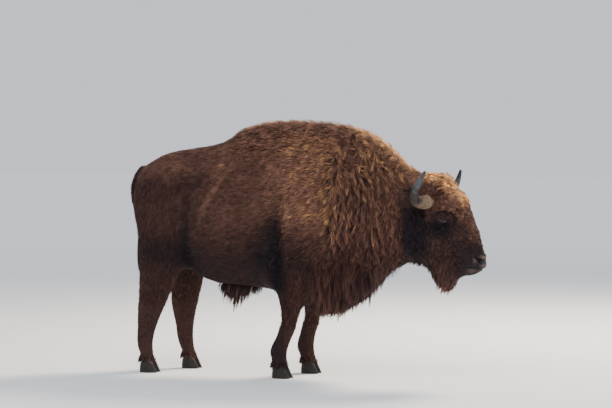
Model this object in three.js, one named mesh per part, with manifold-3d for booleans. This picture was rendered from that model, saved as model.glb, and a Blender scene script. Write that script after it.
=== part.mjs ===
// A standing wisent (European bison) bull as a life-size museum model.
// Millimetres, +X towards the nose, +Y to the animal's left, +Z up.
// The origin is on the floor under the middle of the model.
//
// The outer form of the coat is one smooth field: the rounded shapes of trunk, neck, head
// and legs, blended where they meet. Each sub-part is a stretch of that field turned into
// a closed mesh and parted from its neighbours by thin cuts.
import * as THREE from "three";
import { mergeVertices } from "three/addons/utils/BufferGeometryUtils.js";
import Module from "manifold-3d";

const wasm = await Module();
wasm.setup();

// ---- Driving dimensions -------------------------------------------------------------

const GAP = 0.3; // clearance left by every cut
const MODEL_MIDDLE = [350.5, 0]; // floor point that becomes the origin

// Trunk and neck: upright oval sections, from the rump to the nape.
// along, top, height of the widest place, belly, half width, power of the upper curve
const BODY_SECTIONS = [
  [-860, 1504, 1215, 960, 215, 2.3],
  [-720, 1582, 1215, 880, 258, 2.2],
  [-560, 1612, 1180, 790, 276, 2.1],
  [-420, 1636, 1120, 672, 302, 2.0],
  [-260, 1664, 1080, 632, 328, 1.9],
  [-90, 1764, 1070, 618, 346, 1.75],
  [80, 1808, 1070, 610, 354, 1.7],
  [300, 1822, 1060, 575, 352, 1.7],
  [520, 1802, 1050, 540, 332, 1.75],
  [740, 1756, 1060, 575, 292, 1.85],
  [900, 1702, 1090, 650, 256, 1.95],
  [1040, 1584, 1120, 744, 228, 2.0],
  [1160, 1472, 1150, 830, 200, 2.0],
];
const RUMP_ROUNDING = 95;
const NAPE_ROUNDING = 120;
const LOWER_POWER = 2.2;
const NECK_TURN = { from: 740, over: 460, side: -45 };

// Rings of chains below: x, y, z, half depth, half width.
const BRISKET_MANE = [
  [330, 0, 650, 120, 150],
  [560, 0, 585, 130, 120],
  [820, -12, 660, 102, 92],
];
const BRISKET_TIP = [
  [470, 0, 545, 85, 85],
  [590, 0, 515, 62, 50],
  [730, -8, 550, 60, 50],
];
const THROAT_MANE = [
  [1090, -25, 918, 106, 120],
  [1230, -34, 922, 100, 100],
  [1335, -40, 910, 96, 88],
];
const SHEATH_TUFT = [
  [-190, 0, 650, 75, 48],
  [-152, 0, 562, 42, 24],
  [-140, 0, 528, 20, 12],
];
const HIP = { at: [-575, 138, 1440], radii: [150, 108, 108] };
const SHOULDER = { at: [390, 240, 1080], radii: [190, 118, 330] };
const SHOULDER_CREASE = { top: [285, 335, 1330], low: [190, 320, 690], depth: 22, reach: 85 };
const FLANK_HOLLOW = { at: [-425, 300, 1260], depth: 14, reach: 150 };

// Legs. The two legs of a pair differ only in how far each joint stands forward.
const FORE_SIDE = 185;
const HIND_SIDE = 182;
// height, half depth, half width, share of the side distance
const FORE_RINGS = [
  [960, 165, 95, 1.1],
  [720, 172, 88, 1.08],
  [590, 112, 76, 1.04],
  [410, 76, 63, 1.0],
  [290, 63, 51, 1.0],
  [180, 67, 58, 1.0],
  [98, 55, 57, 1.0],
];
const HIND_RINGS = [
  [1150, 225, 100, 0.9],
  [930, 205, 105, 0.98],
  [745, 170, 92, 1.0],
  [575, 136, 76, 1.0],
  [440, 106, 62, 1.0],
  [330, 80, 52, 1.0],
  [190, 61, 54, 1.0],
  [98, 53, 54, 1.0],
];
const LEG_STEPS = {
  fore_right: [400, 325, 335, 321, 281, 234, 248],
  fore_left: [415, 372, 366, 346, 312, 292, 318],
  hind_right: [-640, -662, -695, -737, -768, -792, -807, -785],
  hind_left: [-630, -645, -650, -655, -667, -662, -652, -622],
};

// Hooves: two claws on each foot, with flat soles on the floor.
const CLAW = { length: 132, width: 58, apart: 3, ahead: 18 };
const CLAW_LEVELS = [[0, 1, 0], [0.5, 0.88, -0.04], [1, 0.68, -0.12]]; // rise, size, slide
const CLAW_SIDES = 10;
const DEWCLAW = { back: 52, height: 98, side: 26, length: 40, radius: 15, slant: 28 };
const SHANK = { levels: 7, sides: 10 };

// Head, in its own axes: forward, left, up from the point between the eyes.
const HEAD_AT = [1386, -45, 1110];
const HEAD_TURN = -8; // degrees, towards the animal's right
const SKULL = [
  [-75, 0, 195, 135, 140],
  [50, 0, 78, 155, 146],
  [158, 0, -98, 137, 112],
  [250, 0, -248, 91, 88],
];
const CROWN_WOOL = [
  [-150, 0, 225, 100, 130],
  [-42, 0, 225, 111, 152],
  [70, 0, 150, 106, 138],
];
const JAW = [
  [-55, 0, -30, 95, 122],
  [10, 0, -185, 100, 106],
  [175, 0, -305, 62, 72],
];
const BEARD = [
  [22, 0, -302, 124, 66],
  [58, 0, -394, 98, 44],
  [54, 0, -480, 38, 16],
];
const CHIN = [
  [205, 0, -318, 52, 58],
  [252, 0, -322, 42, 54],
];
const NOSE_PAD = { at: [296, 0, -280], radii: [43, 68, 46] };
const BROW = { at: [112, 100, 84], radii: [60, 38, 24] };
const CHEEK = { at: [10, 88, -80], radii: [110, 52, 110] };
const EYE = { at: [80, 125, 22], radius: 22, socket: 34, dent: 15 };
const NOSTRIL = { at: [322, 38, -266], reach: 17, depth: 13 };
const MOUTH = { front: [294, 0, -322], corner: [212, 74, -300], reach: 14, depth: 9 };

// Horn and ear centre lines on the left, in head axes, with their half thicknesses.
const HORN = [
  [-24, 70, 150, 50],
  [-26, 130, 145, 49],
  [-46, 200, 139, 44],
  [-64, 262, 158, 36],
  [-50, 298, 212, 28],
  [-16, 298, 280, 20],
  [18, 274, 354, 9],
];
const HORN_STEPS = 12;
const EAR = { root: [-118, 92, 142], tip: [-208, 272, 172], rise: 10, height: 54, depth: 18, cup: 12 };
const EAR_STEPS = 6;
const ROUND_SIDES = 8;

// Tail: hangs from the rump, swung a little to the left.
const TAIL = [
  [-895, 8, 1472, 42, 38],
  [-968, 14, 1392, 36, 34],
  [-1000, 24, 1260, 30, 28],
  [-972, 66, 1080, 27, 25],
  [-964, 76, 960, 40, 37],
  [-962, 80, 850, 52, 46],
  [-958, 84, 715, 18, 16],
];

// Cuts between sub-parts.
const NECK_CUT = { at: [770, 0, 1100], forward: 0.97, up: 0.24 };
const HEAD_CUT = { at: [-172, 0, 0], forward: 0.995, up: -0.1 };
const MUZZLE_CUT = { at: [190, 0, -150], forward: 0.75, up: -0.66 };
const BEARD_CUT = { at: [60, 0, -350], forward: -0.25, up: -0.97 };
const FORE_REGION = { at: [330, 205, 800], depth: 195, width: 155, lean: 0 };
const HIND_REGION = { at: [-665, 205, 850], depth: 245, width: 165, lean: 18 };
const KNEE_CUT_HEIGHT = 372;
const HOCK_CUT_HEIGHT = 505;
const CORONET_HEIGHT = 86;
const TAIL_TUFT_HEIGHT = 1010;

// Boxes that are turned into meshes, each with its own cell size along x, y and z.
const GRIDS = {
  trunk: { low: [-1090, -494, 320], high: [1110, 494, 1960], cell: [100, 76, 94] },
  neck: { low: [380, -396, 320], high: [1480, 396, 1940], cell: [86, 72, 82] },
  head: { low: [1040, -360, 520], high: [1830, 300, 1590], cell: [46, 42, 46] },
  muzzle: { low: [1280, -290, 620], high: [1800, 150, 1140], cell: [30, 29, 30] },
  beard: { low: [1090, -260, 500], high: [1760, 190, 960], cell: [42, 34, 46] },
};
const UPPER_LEG_CELL = [78, 66, 86];
const UPPER_LEG_MARGIN = [150, 140, 170];
const UPPER_LEG_TOP = 1180;

const COLOURS = {
  trunk: 0x4b3325,
  neck: 0x5a3d2a,
  head: 0x3b2a22,
  leg: 0x33261f,
  tail: 0x3a2a20,
  muzzle: 0x2b2524,
  beard: 0x3c2a22,
  horn: 0x6f6658,
  hoof: 0x2a2725,
  eye: 0x0d0a08,
  ear: 0x4a3426,
};

// ---- Field: signed distance to the coat ---------------------------------------------

const clamp = THREE.MathUtils.clamp;
const radians = THREE.MathUtils.degToRad;

function blend(a, b, reach) {
  const near = Math.max(reach - Math.abs(a - b), 0) / reach;
  return Math.min(a, b) - near * near * reach / 4;
}

function interpolantOf(rows) {
  const places = rows.map((row) => row[0]);
  const width = rows[0].length - 1;
  return new THREE.CubicInterpolant(places, rows.flatMap((row) => row.slice(1)), width);
}

const bodySections = interpolantOf(BODY_SECTIONS);
const firstSection = BODY_SECTIONS[0][0];
const lastSection = BODY_SECTIONS.at(-1)[0];

function neckSide(x) {
  const share = clamp((x - NECK_TURN.from) / NECK_TURN.over, 0, 1);
  return NECK_TURN.side * share * share;
}

function bodyDistance(x, y, z) {
  const inside = clamp(x, firstSection, lastSection);
  const [top, widest, belly, half, upperPower] = bodySections.evaluate(inside);
  const beyond = x - inside;
  const rounding = beyond < 0 ? RUMP_ROUNDING : NAPE_ROUNDING;
  const sideways = y - neckSide(inside);
  const upwards = z - widest;
  const power = upwards > 0 ? upperPower : LOWER_POWER;
  const height = upwards > 0 ? top - widest : widest - belly;
  const sum = Math.abs(sideways / half) ** power + Math.abs(upwards / height) ** power;
  const section = sum ** (1 / power);
  const ratio = Math.max(Math.hypot(section, beyond / rounding), 1e-3);
  return Math.hypot(beyond, sideways, upwards) * (1 - 1 / ratio);
}

function ballDistance(x, y, z, ball) {
  const [dx, dy, dz] = [x - ball.at[0], y - ball.at[1], z - ball.at[2]];
  const [rx, ry, rz] = ball.radii;
  const ratio = Math.max(Math.hypot(dx / rx, dy / ry, dz / rz), 1e-3);
  return Math.hypot(dx, dy, dz) * (1 - 1 / ratio);
}

// How far along the line from a to b the nearest point to (x, y, z) lies, from 0 to 1.
function shareAlong(x, y, z, a, b) {
  const [sx, sy, sz] = [b[0] - a[0], b[1] - a[1], b[2] - a[2]];
  const along = (x - a[0]) * sx + (y - a[1]) * sy + (z - a[2]) * sz;
  return clamp(along / (sx * sx + sy * sy + sz * sz), 0, 1);
}

// A chain of oval rings joined by straight tapers.
function chainDistance(x, y, z, rings) {
  let distance = Infinity;
  for (let i = 0; i + 1 < rings.length; i += 1) {
    const [ax, ay, az, aDepth, aWidth] = rings[i];
    const [bx, by, bz, bDepth, bWidth] = rings[i + 1];
    const share = shareAlong(x, y, z, rings[i], rings[i + 1]);
    const dx = x - ax - share * (bx - ax);
    const dy = y - ay - share * (by - ay);
    const dz = z - az - share * (bz - az);
    const depth = aDepth + share * (bDepth - aDepth);
    const width = aWidth + share * (bWidth - aWidth);
    const ratio = Math.max(Math.hypot(dy / width, Math.hypot(dx, dz) / depth), 1e-3);
    distance = Math.min(distance, Math.hypot(dx, dy, dz) * (1 - 1 / ratio));
  }
  return distance;
}

function bump(x, y, z, at, reach) {
  const away = ((x - at[0]) ** 2 + (y - at[1]) ** 2 + (z - at[2]) ** 2) / (reach * reach);
  return Math.exp(-away);
}

function bumpAlong(x, y, z, a, b, reach) {
  const share = shareAlong(x, y, z, a, b);
  return bump(x, y, z, a.map((value, axis) => value + share * (b[axis] - value)), reach);
}

const legRings = {};
for (const [leg, steps] of Object.entries(LEG_STEPS)) {
  const rings = leg.startsWith("fore") ? FORE_RINGS : HIND_RINGS;
  const out = leg.startsWith("fore") ? FORE_SIDE : HIND_SIDE;
  const side = leg.endsWith("left") ? out : -out;
  legRings[leg] = rings.map(([z, depth, width, share], i) => [steps[i], side * share, z, depth, width]);
}

const headCos = Math.cos(radians(HEAD_TURN));
const headSin = Math.sin(radians(HEAD_TURN));

function toHead(x, y, z) {
  const [dx, dy] = [x - HEAD_AT[0], y - HEAD_AT[1]];
  return [dx * headCos + dy * headSin, dy * headCos - dx * headSin, z - HEAD_AT[2]];
}

function headDistance(x, y, z) {
  const [f, side, u] = toHead(x, y, z);
  const out = Math.abs(side);
  let distance = blend(chainDistance(f, out, u, SKULL), chainDistance(f, out, u, CROWN_WOOL), 60);
  distance = blend(distance, chainDistance(f, out, u, JAW), 50);
  distance = blend(distance, ballDistance(f, out, u, CHEEK), 40);
  distance = blend(distance, ballDistance(f, out, u, BROW), 24);
  distance = blend(distance, ballDistance(f, out, u, NOSE_PAD), 34);
  distance = blend(distance, chainDistance(f, out, u, CHIN), 22);
  distance = blend(distance, chainDistance(f, out, u, BEARD), 30);
  distance += EYE.dent * bump(f, out, u, EYE.at, EYE.socket);
  distance += NOSTRIL.depth * bump(f, out, u, NOSTRIL.at, NOSTRIL.reach);
  return distance + MOUTH.depth * bumpAlong(f, out, u, MOUTH.front, MOUTH.corner, MOUTH.reach);
}

// The whole animal's coat, without horns, ears, eyes, hooves and tail.
function coatDistance(x, y, z) {
  const out = Math.abs(y);
  let distance = bodyDistance(x, y, z);
  distance = blend(distance, ballDistance(x, out, z, SHOULDER), 90);
  distance = blend(distance, ballDistance(x, out, z, HIP), 70);
  distance = blend(distance, chainDistance(x, y, z, BRISKET_MANE), 90);
  distance = blend(distance, chainDistance(x, y, z, BRISKET_TIP), 60);
  distance = blend(distance, chainDistance(x, y, z, THROAT_MANE), 60);
  distance = blend(distance, chainDistance(x, y, z, SHEATH_TUFT), 50);
  for (const [leg, rings] of Object.entries(legRings)) {
    distance = blend(distance, chainDistance(x, y, z, rings), leg.startsWith("fore") ? 70 : 90);
  }
  distance += FLANK_HOLLOW.depth * bump(x, out, z, FLANK_HOLLOW.at, FLANK_HOLLOW.reach);
  const crease = SHOULDER_CREASE;
  distance += crease.depth * bumpAlong(x, out, z, crease.top, crease.low, crease.reach);
  return x > NECK_TURN.from ? blend(distance, headDistance(x, y, z), 60) : distance;
}

// ---- Field to mesh ------------------------------------------------------------------

function slopeOf(field, [x, y, z]) {
  const step = 0.5;
  return [
    (field(x + step, y, z) - field(x - step, y, z)) / (2 * step),
    (field(x, y + step, z) - field(x, y - step, z)) / (2 * step),
    (field(x, y, z + step) - field(x, y, z - step)) / (2 * step),
  ];
}

// Moves a point on to the zero surface of a field by a few Newton steps.
function settle(field, point, limit) {
  const start = [...point];
  for (let i = 0; i < 6; i += 1) {
    const slope = slopeOf(field, point);
    const length = Math.max(Math.hypot(...slope), 0.2);
    const move = field(...point) / (length * length);
    point = point.map((value, axis) => value - move * slope[axis]);
  }
  const off = Math.hypot(...point.map((value, axis) => value - start[axis]));
  return off < limit ? point : start;
}

// A closed mesh of field < 0 inside a box, by surface nets: one vertex in each grid cell
// that the surface passes through, one face across each grid edge that it crosses.
function surfaceOf(field, { low, high, cell }) {
  const count = low.map((value, axis) => Math.ceil((high[axis] - value) / cell[axis]) + 1);
  const step = low.map((value, axis) => (high[axis] - value) / (count[axis] - 1));
  const place = (index, axis) => low[axis] + index * step[axis];
  const number = (i, j, k) => (k * count[1] + j) * count[0] + i;
  const values = new Float64Array(count[0] * count[1] * count[2]);
  for (let k = 0; k < count[2]; k += 1) {
    for (let j = 0; j < count[1]; j += 1) {
      for (let i = 0; i < count[0]; i += 1) {
        const edge = [i, j, k].some((value, axis) => value === 0 || value === count[axis] - 1);
        const value = field(place(i, 0), place(j, 1), place(k, 2));
        values[number(i, j, k)] = edge ? Math.max(value, step[0] / 2) : value;
      }
    }
  }
  const corners = [0, 1, 2, 3, 4, 5, 6, 7].map((bit) => [bit & 1, (bit >> 1) & 1, (bit >> 2) & 1]);
  const edges = [];
  for (let a = 0; a < 8; a += 1) {
    for (const bit of [1, 2, 4]) {
      if (!(a & bit)) edges.push([a, a | bit]);
    }
  }
  const vertices = [];
  const vertexOf = new Map();
  const reach = Math.hypot(...step) / 2;
  for (let k = 0; k + 1 < count[2]; k += 1) {
    for (let j = 0; j + 1 < count[1]; j += 1) {
      for (let i = 0; i + 1 < count[0]; i += 1) {
        const held = corners.map(([a, b, c]) => values[number(i + a, j + b, k + c)]);
        const crossed = edges.filter(([a, b]) => held[a] < 0 !== held[b] < 0);
        if (crossed.length === 0) continue;
        const sum = [0, 0, 0];
        for (const [a, b] of crossed) {
          const share = held[a] / (held[a] - held[b]);
          for (let axis = 0; axis < 3; axis += 1) {
            sum[axis] += corners[a][axis] + share * (corners[b][axis] - corners[a][axis]);
          }
        }
        const point = sum.map((value, axis) => place([i, j, k][axis] + value / crossed.length, axis));
        vertexOf.set(number(i, j, k), vertices.length / 3);
        vertices.push(...settle(field, point, reach));
      }
    }
  }
  const faces = [];
  const at = (i, j, k) => vertexOf.get(number(i, j, k));
  const addQuad = (a, b, c, d, flip) => {
    const quad = flip ? [a, d, c, b] : [a, b, c, d];
    const gaps = (p, q) => [0, 1, 2].map((axis) => vertices[3 * p + axis] - vertices[3 * q + axis]);
    const apart = (p, q) => Math.hypot(...gaps(p, q));
    const shortFirst = apart(quad[0], quad[2]) < apart(quad[1], quad[3]);
    const [p, q, r, s] = shortFirst ? quad : [quad[1], quad[2], quad[3], quad[0]];
    faces.push(p, q, r, p, r, s);
  };
  for (let k = 0; k + 1 < count[2]; k += 1) {
    for (let j = 0; j + 1 < count[1]; j += 1) {
      for (let i = 0; i + 1 < count[0]; i += 1) {
        const here = values[number(i, j, k)] < 0;
        if (here !== values[number(i + 1, j, k)] < 0) {
          addQuad(at(i, j - 1, k - 1), at(i, j, k - 1), at(i, j, k), at(i, j - 1, k), !here);
        }
        if (here !== values[number(i, j + 1, k)] < 0) {
          addQuad(at(i - 1, j, k - 1), at(i - 1, j, k), at(i, j, k), at(i, j, k - 1), !here);
        }
        if (here !== values[number(i, j, k + 1)] < 0) {
          addQuad(at(i - 1, j - 1, k), at(i, j - 1, k), at(i, j, k), at(i - 1, j, k), !here);
        }
      }
    }
  }
  return geometryOf(vertices, faces);
}

function geometryOf(vertices, faces) {
  const geometry = new THREE.BufferGeometry();
  geometry.setAttribute("position", new THREE.Float32BufferAttribute(vertices, 3));
  geometry.setIndex(faces);
  return geometry;
}

// ---- Solids -------------------------------------------------------------------------

function solidOf(geometry) {
  const bare = geometry.clone();
  bare.deleteAttribute("normal");
  bare.deleteAttribute("uv");
  const merged = mergeVertices(bare, 1e-4);
  const triVerts = new Uint32Array(merged.index.array);
  const vertProperties = new Float32Array(merged.attributes.position.array);
  return new wasm.Manifold(new wasm.Mesh({ numProp: 3, vertProperties, triVerts }));
}

function geometryOfSolid(solid) {
  const mesh = solid.getMesh();
  return geometryOf(Array.from(mesh.vertProperties), Array.from(mesh.triVerts));
}

// A large block whose near face passes through a point, used to cut across the body.
function blockBeyond(at, normal, clearance = GAP / 2) {
  const size = 4000;
  const direction = new THREE.Vector3(...normal).normalize();
  const box = new THREE.BoxGeometry(size, size, size);
  const turn = new THREE.Quaternion().setFromUnitVectors(new THREE.Vector3(0, 0, 1), direction);
  box.applyQuaternion(turn);
  const middle = new THREE.Vector3(...at).addScaledVector(direction, size / 2 - clearance);
  box.translate(middle.x, middle.y, middle.z);
  return solidOf(box);
}

// Each side of a parting plane: the block beyond it and the block before it.
function partingAt(at, normal) {
  return { beyond: blockBeyond(at, normal), before: blockBeyond(at, normal.map((value) => -value)) };
}

function headParting({ at, forward, up }) {
  const place = headPoint(at);
  return partingAt(place.toArray(), [forward * headCos, forward * headSin, up]);
}

const cuts = {
  neck: partingAt(NECK_CUT.at, [NECK_CUT.forward, 0, NECK_CUT.up]),
  head: headParting(HEAD_CUT),
  muzzle: headParting(MUZZLE_CUT),
  beard: headParting(BEARD_CUT),
  knee: partingAt([0, 0, KNEE_CUT_HEIGHT], [0, 0, 1]),
  hock: partingAt([0, 0, HOCK_CUT_HEIGHT], [0, 0, 1]),
  coronet: partingAt([0, 0, CORONET_HEIGHT], [0, 0, 1]),
  tuft: partingAt([0, 0, TAIL_TUFT_HEIGHT], [0, 0, 1]),
};

function headPoint([forward, left, up]) {
  const x = forward * headCos - left * headSin;
  const y = forward * headSin + left * headCos;
  return new THREE.Vector3(HEAD_AT[0] + x, HEAD_AT[1] + y, HEAD_AT[2] + up);
}

// Faces of a closed wall of level rings, with a flat fan at each end.
function wallFaces(levels, sides) {
  const faces = [];
  for (let i = 0; i + 1 < levels; i += 1) {
    for (let j = 0; j < sides; j += 1) {
      const next = (j + 1) % sides;
      const [a, b, c, d] = [i * sides + j, i * sides + next, (i + 1) * sides + next, (i + 1) * sides + j];
      faces.push(a, b, c, a, c, d);
    }
  }
  const last = (levels - 1) * sides;
  for (let j = 1; j + 1 < sides; j += 1) {
    faces.push(0, j + 1, j);
    faces.push(last, last + j, last + j + 1);
  }
  return faces;
}

// A closed tube of oval sections along a smooth line; sections come from a function of share.
function tube(points, steps, sides, sectionAt) {
  const curve = new THREE.CatmullRomCurve3(points, false, "centripetal");
  const up = new THREE.Vector3(0, 0, 1);
  const vertices = [];
  let across = null;
  for (let i = 0; i <= steps; i += 1) {
    const share = i / steps;
    const centre = curve.getPointAt(share);
    const along = curve.getTangentAt(share);
    across = across ?? new THREE.Vector3().crossVectors(up, along);
    across.addScaledVector(along, -across.dot(along)).normalize();
    const above = new THREE.Vector3().crossVectors(along, across);
    for (let j = 0; j < sides; j += 1) {
      const [a, b] = sectionAt(share, (j / sides) * 2 * Math.PI);
      const point = centre.clone().addScaledVector(across, a).addScaledVector(above, b);
      vertices.push(point.x, point.y, point.z);
    }
  }
  return geometryOf(vertices, wallFaces(steps + 1, sides));
}

function mirrorPoint([f, side, u], sign) {
  return [f, side * sign, u];
}

// Moves the first point back from the second by the given length.
function startEarlier(points, length) {
  const back = points[0].clone().sub(points[1]).setLength(length);
  points[0].add(back);
}

function hornSolid(sign, extra) {
  const points = HORN.map((ring) => headPoint(mirrorPoint(ring, sign)));
  startEarlier(points, extra);
  const thickness = interpolantOf(HORN.map((ring, i) => [i / (HORN.length - 1), ring[3]]));
  return solidOf(tube(points, HORN_STEPS, ROUND_SIDES, (share, angle) => {
    const radius = thickness.evaluate(share)[0] + extra;
    return [radius * Math.cos(angle), radius * Math.sin(angle)];
  }));
}

// An ear is a leaf: narrow root, broad middle, blunt tip, hollowed on the side turned forward.
function earSolid(sign, extra) {
  const root = headPoint(mirrorPoint(EAR.root, sign));
  const tip = headPoint(mirrorPoint(EAR.tip, sign));
  const middle = root.clone().lerp(tip, 0.5);
  middle.z += EAR.rise;
  startEarlier([root, middle], extra);
  return solidOf(tube([root, middle, tip], EAR_STEPS, ROUND_SIDES, (share, angle) => {
    const swell = Math.sqrt(Math.sin(Math.PI * (0.16 + 0.8 * share)));
    const [c, s] = [Math.cos(angle), Math.sin(angle)];
    const hollow = c * sign > 0 ? EAR.cup * swell * (1 - s * s) * Math.min(share / 0.3, 1) : 0;
    return [c * (EAR.depth * swell + extra) - hollow * sign, s * (EAR.height * swell + extra)];
  }));
}

function eyeSolid(sign, extra) {
  const ball = new THREE.SphereGeometry(EYE.radius + extra, 10, 6);
  const centre = headPoint(mirrorPoint(EYE.at, sign));
  ball.translate(centre.x, centre.y, centre.z);
  return solidOf(ball);
}

// One claw: an outline seen from above, drawn in towards the top and cut flat at the sole.
function clawSolid(foot, inner) {
  const { length, width, ahead, apart } = CLAW;
  const height = CORONET_HEIGHT - GAP;
  const vertices = [];
  const side = inner * (width / 2 + apart);
  for (const [rise, size, slide] of CLAW_LEVELS) {
    for (let j = 0; j < CLAW_SIDES; j += 1) {
      const angle = (j / CLAW_SIDES) * 2 * Math.PI;
      const toe = Math.cos(angle);
      const half = Math.sign(Math.sin(angle)) * Math.abs(Math.sin(angle)) ** 0.75;
      const narrowing = 1 - 0.28 * Math.max(toe, 0) ** 2;
      const x = foot.x + ahead + size * toe * length / 2 + slide * length;
      const lean = inner * half < 0 ? 1 : size;
      vertices.push(x, foot.y + side + lean * narrowing * half * width / 2, rise * height);
    }
  }
  return solidOf(geometryOf(vertices, wallFaces(CLAW_LEVELS.length, CLAW_SIDES)));
}

function dewclawSolid(foot, inner, extra) {
  const nub = new THREE.CapsuleGeometry(DEWCLAW.radius + extra, DEWCLAW.length, 1, 6);
  nub.rotateX(Math.PI / 2);
  nub.rotateY(radians(DEWCLAW.slant));
  nub.translate(foot.x - DEWCLAW.back, foot.y + inner * DEWCLAW.side, DEWCLAW.height);
  return solidOf(nub);
}

// ---- Sub-parts ----------------------------------------------------------------------

const wisent = new THREE.Group();
wisent.position.set(-MODEL_MIDDLE[0], -MODEL_MIDDLE[1], 0);

function addPart(name, solid, colour, roughness = 0.95) {
  const material = new THREE.MeshStandardMaterial({ color: colour, roughness, metalness: 0 });
  const mesh = new THREE.Mesh(geometryOfSolid(solid), material);
  mesh.name = name;
  wisent.add(mesh);
}

// The largest of the separate bodies of a solid, without slivers left by a cut.
function largest(solid) {
  const bodies = solid.decompose();
  return bodies.reduce((best, body) => (body.volume() > best.volume() ? body : best));
}

// An oval post about an upper leg, cut off above by the parting plane.
function legRegion(leg, extra) {
  const region = leg.startsWith("fore") ? FORE_REGION : HIND_REGION;
  const sign = sides[leg.split("_")[1]];
  const post = new THREE.CylinderGeometry(1, 1, 2 * UPPER_LEG_TOP, 18);
  post.rotateX(Math.PI / 2);
  post.scale(region.depth + extra, region.width + extra, 1);
  post.translate(region.at[0], sign * region.at[1], 0);
  const normal = [Math.sin(radians(region.lean)), 0, Math.cos(radians(region.lean))];
  const roof = [region.at[0], 0, region.at[2] + (extra ? 0 : -GAP / 2)];
  return solidOf(post).intersect(blockBeyond(roof, normal.map((value) => -value), 0));
}

const coatIn = (grid) => solidOf(surfaceOf(coatDistance, grid));
const legNames = Object.keys(LEG_STEPS);
const tailSolid = (extra) => solidOf(ringTube(TAIL, extra));
const sides = { left: 1, right: -1 };

function addTrunk() {
  const front = coatIn(GRIDS.trunk).subtract(cuts.neck.beyond);
  const body = legNames.reduce((solid, leg) => solid.subtract(legRegion(leg, GAP)), front);
  addPart("trunk", largest(body.subtract(tailSolid(GAP))), COLOURS.trunk);
}

function addNeck() {
  const neck = coatIn(GRIDS.neck).subtract(cuts.neck.before).subtract(cuts.head.beyond);
  addPart("neck", largest(withoutOrgans(neck)), COLOURS.neck);
}

// Takes horns, ears and eyes out of a stretch of the head or neck.
function withoutOrgans(solid) {
  let rest = solid;
  for (const sign of Object.values(sides)) {
    for (const organ of [hornSolid, earSolid, eyeSolid]) {
      rest = rest.subtract(organ(sign, GAP));
    }
  }
  return rest;
}

function addHead() {
  const skull = coatIn(GRIDS.head).subtract(cuts.head.before);
  const head = skull.subtract(cuts.muzzle.beyond).subtract(cuts.beard.beyond);
  addPart("head", largest(withoutOrgans(head)), COLOURS.head);
  const muzzle = coatIn(GRIDS.muzzle).subtract(cuts.muzzle.before).subtract(cuts.beard.beyond);
  addPart("muzzle", largest(muzzle), COLOURS.muzzle, 0.7);
  const beard = coatIn(GRIDS.beard).subtract(cuts.beard.before).subtract(cuts.head.before);
  addPart("beard", largest(beard), COLOURS.beard);
  for (const [side, sign] of Object.entries(sides)) {
    addPart(`horn_${side}`, hornSolid(sign, 0), COLOURS.horn, 0.5);
    addPart(`ear_${side}`, earSolid(sign, 0), COLOURS.ear);
    addPart(`eye_${side}`, eyeSolid(sign, 0), COLOURS.eye, 0.1);
  }
}

// A lower leg: level oval rings from the joint down to the coronet.
function lowerLeg(leg, top) {
  const rings = legRings[leg].toReversed().map(([x, y, z, depth, width]) => [z, x, y, depth, width]);
  const ringAt = interpolantOf(rings);
  const bottom = CORONET_HEIGHT + GAP / 2;
  const vertices = [];
  for (let i = 0; i < SHANK.levels; i += 1) {
    const z = bottom + (top - bottom) * i / (SHANK.levels - 1);
    const [x, y, depth, width] = ringAt.evaluate(clamp(z, rings[0][0], rings.at(-1)[0]));
    for (let j = 0; j < SHANK.sides; j += 1) {
      const angle = j / SHANK.sides * 2 * Math.PI;
      vertices.push(x + depth * Math.cos(angle), y + width * Math.sin(angle), z);
    }
  }
  return geometryOf(vertices, wallFaces(SHANK.levels, SHANK.sides));
}

function addLeg(leg) {
  const [pair, side] = leg.split("_");
  const sign = sides[side];
  const region = pair === "fore" ? FORE_REGION : HIND_REGION;
  const joint = pair === "fore" ? cuts.knee : cuts.hock;
  const jointHeight = pair === "fore" ? KNEE_CUT_HEIGHT : HOCK_CUT_HEIGHT;
  const [deep, wide] = [region.depth + UPPER_LEG_MARGIN[0], region.width + UPPER_LEG_MARGIN[1]];
  const [x, y] = [region.at[0], sign * region.at[1]];
  const low = [x - deep, y - wide, jointHeight - UPPER_LEG_MARGIN[2]];
  const high = [x + deep, y + wide, UPPER_LEG_TOP];
  const upper = coatIn({ low, high, cell: UPPER_LEG_CELL }).intersect(legRegion(leg, 0));
  addPart(`${pair}_leg_upper_${side}`, largest(upper.subtract(joint.before)), COLOURS.leg);

  let lower = solidOf(lowerLeg(leg, jointHeight - GAP / 2));
  const [footX, footY] = legRings[leg].at(-1);
  for (const inner of [1, -1]) {
    const place = inner * sign < 0 ? "inner" : "outer";
    const foot = { x: footX, y: footY };
    lower = lower.subtract(dewclawSolid(foot, inner, GAP));
    addPart(`hoof_${pair}_${side}_${place}`, clawSolid(foot, inner), COLOURS.hoof, 0.6);
    addPart(`dewclaw_${pair}_${side}_${place}`, dewclawSolid(foot, inner, 0), COLOURS.hoof, 0.6);
  }
  addPart(`${pair}_leg_lower_${side}`, largest(lower), COLOURS.leg);
}

function ringTube(rings, extra) {
  const points = rings.map(([x, y, z]) => new THREE.Vector3(x, y, z));
  startEarlier(points, extra);
  const sizes = interpolantOf(rings.map((ring, i) => [i / (rings.length - 1), ring[3], ring[4]]));
  return tube(points, 2 * (rings.length - 1), ROUND_SIDES, (share, angle) => {
    const [depth, width] = sizes.evaluate(share);
    return [(width + extra) * Math.cos(angle), (depth + extra) * Math.sin(angle)];
  });
}

function addTail() {
  addPart("tail", tailSolid(0).subtract(cuts.tuft.before), COLOURS.tail);
  addPart("tail_tuft", tailSolid(0).subtract(cuts.tuft.beyond), COLOURS.tail);
}

addTrunk();
addNeck();
addHead();
legNames.forEach(addLeg);
addTail();

export default wisent;
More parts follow.
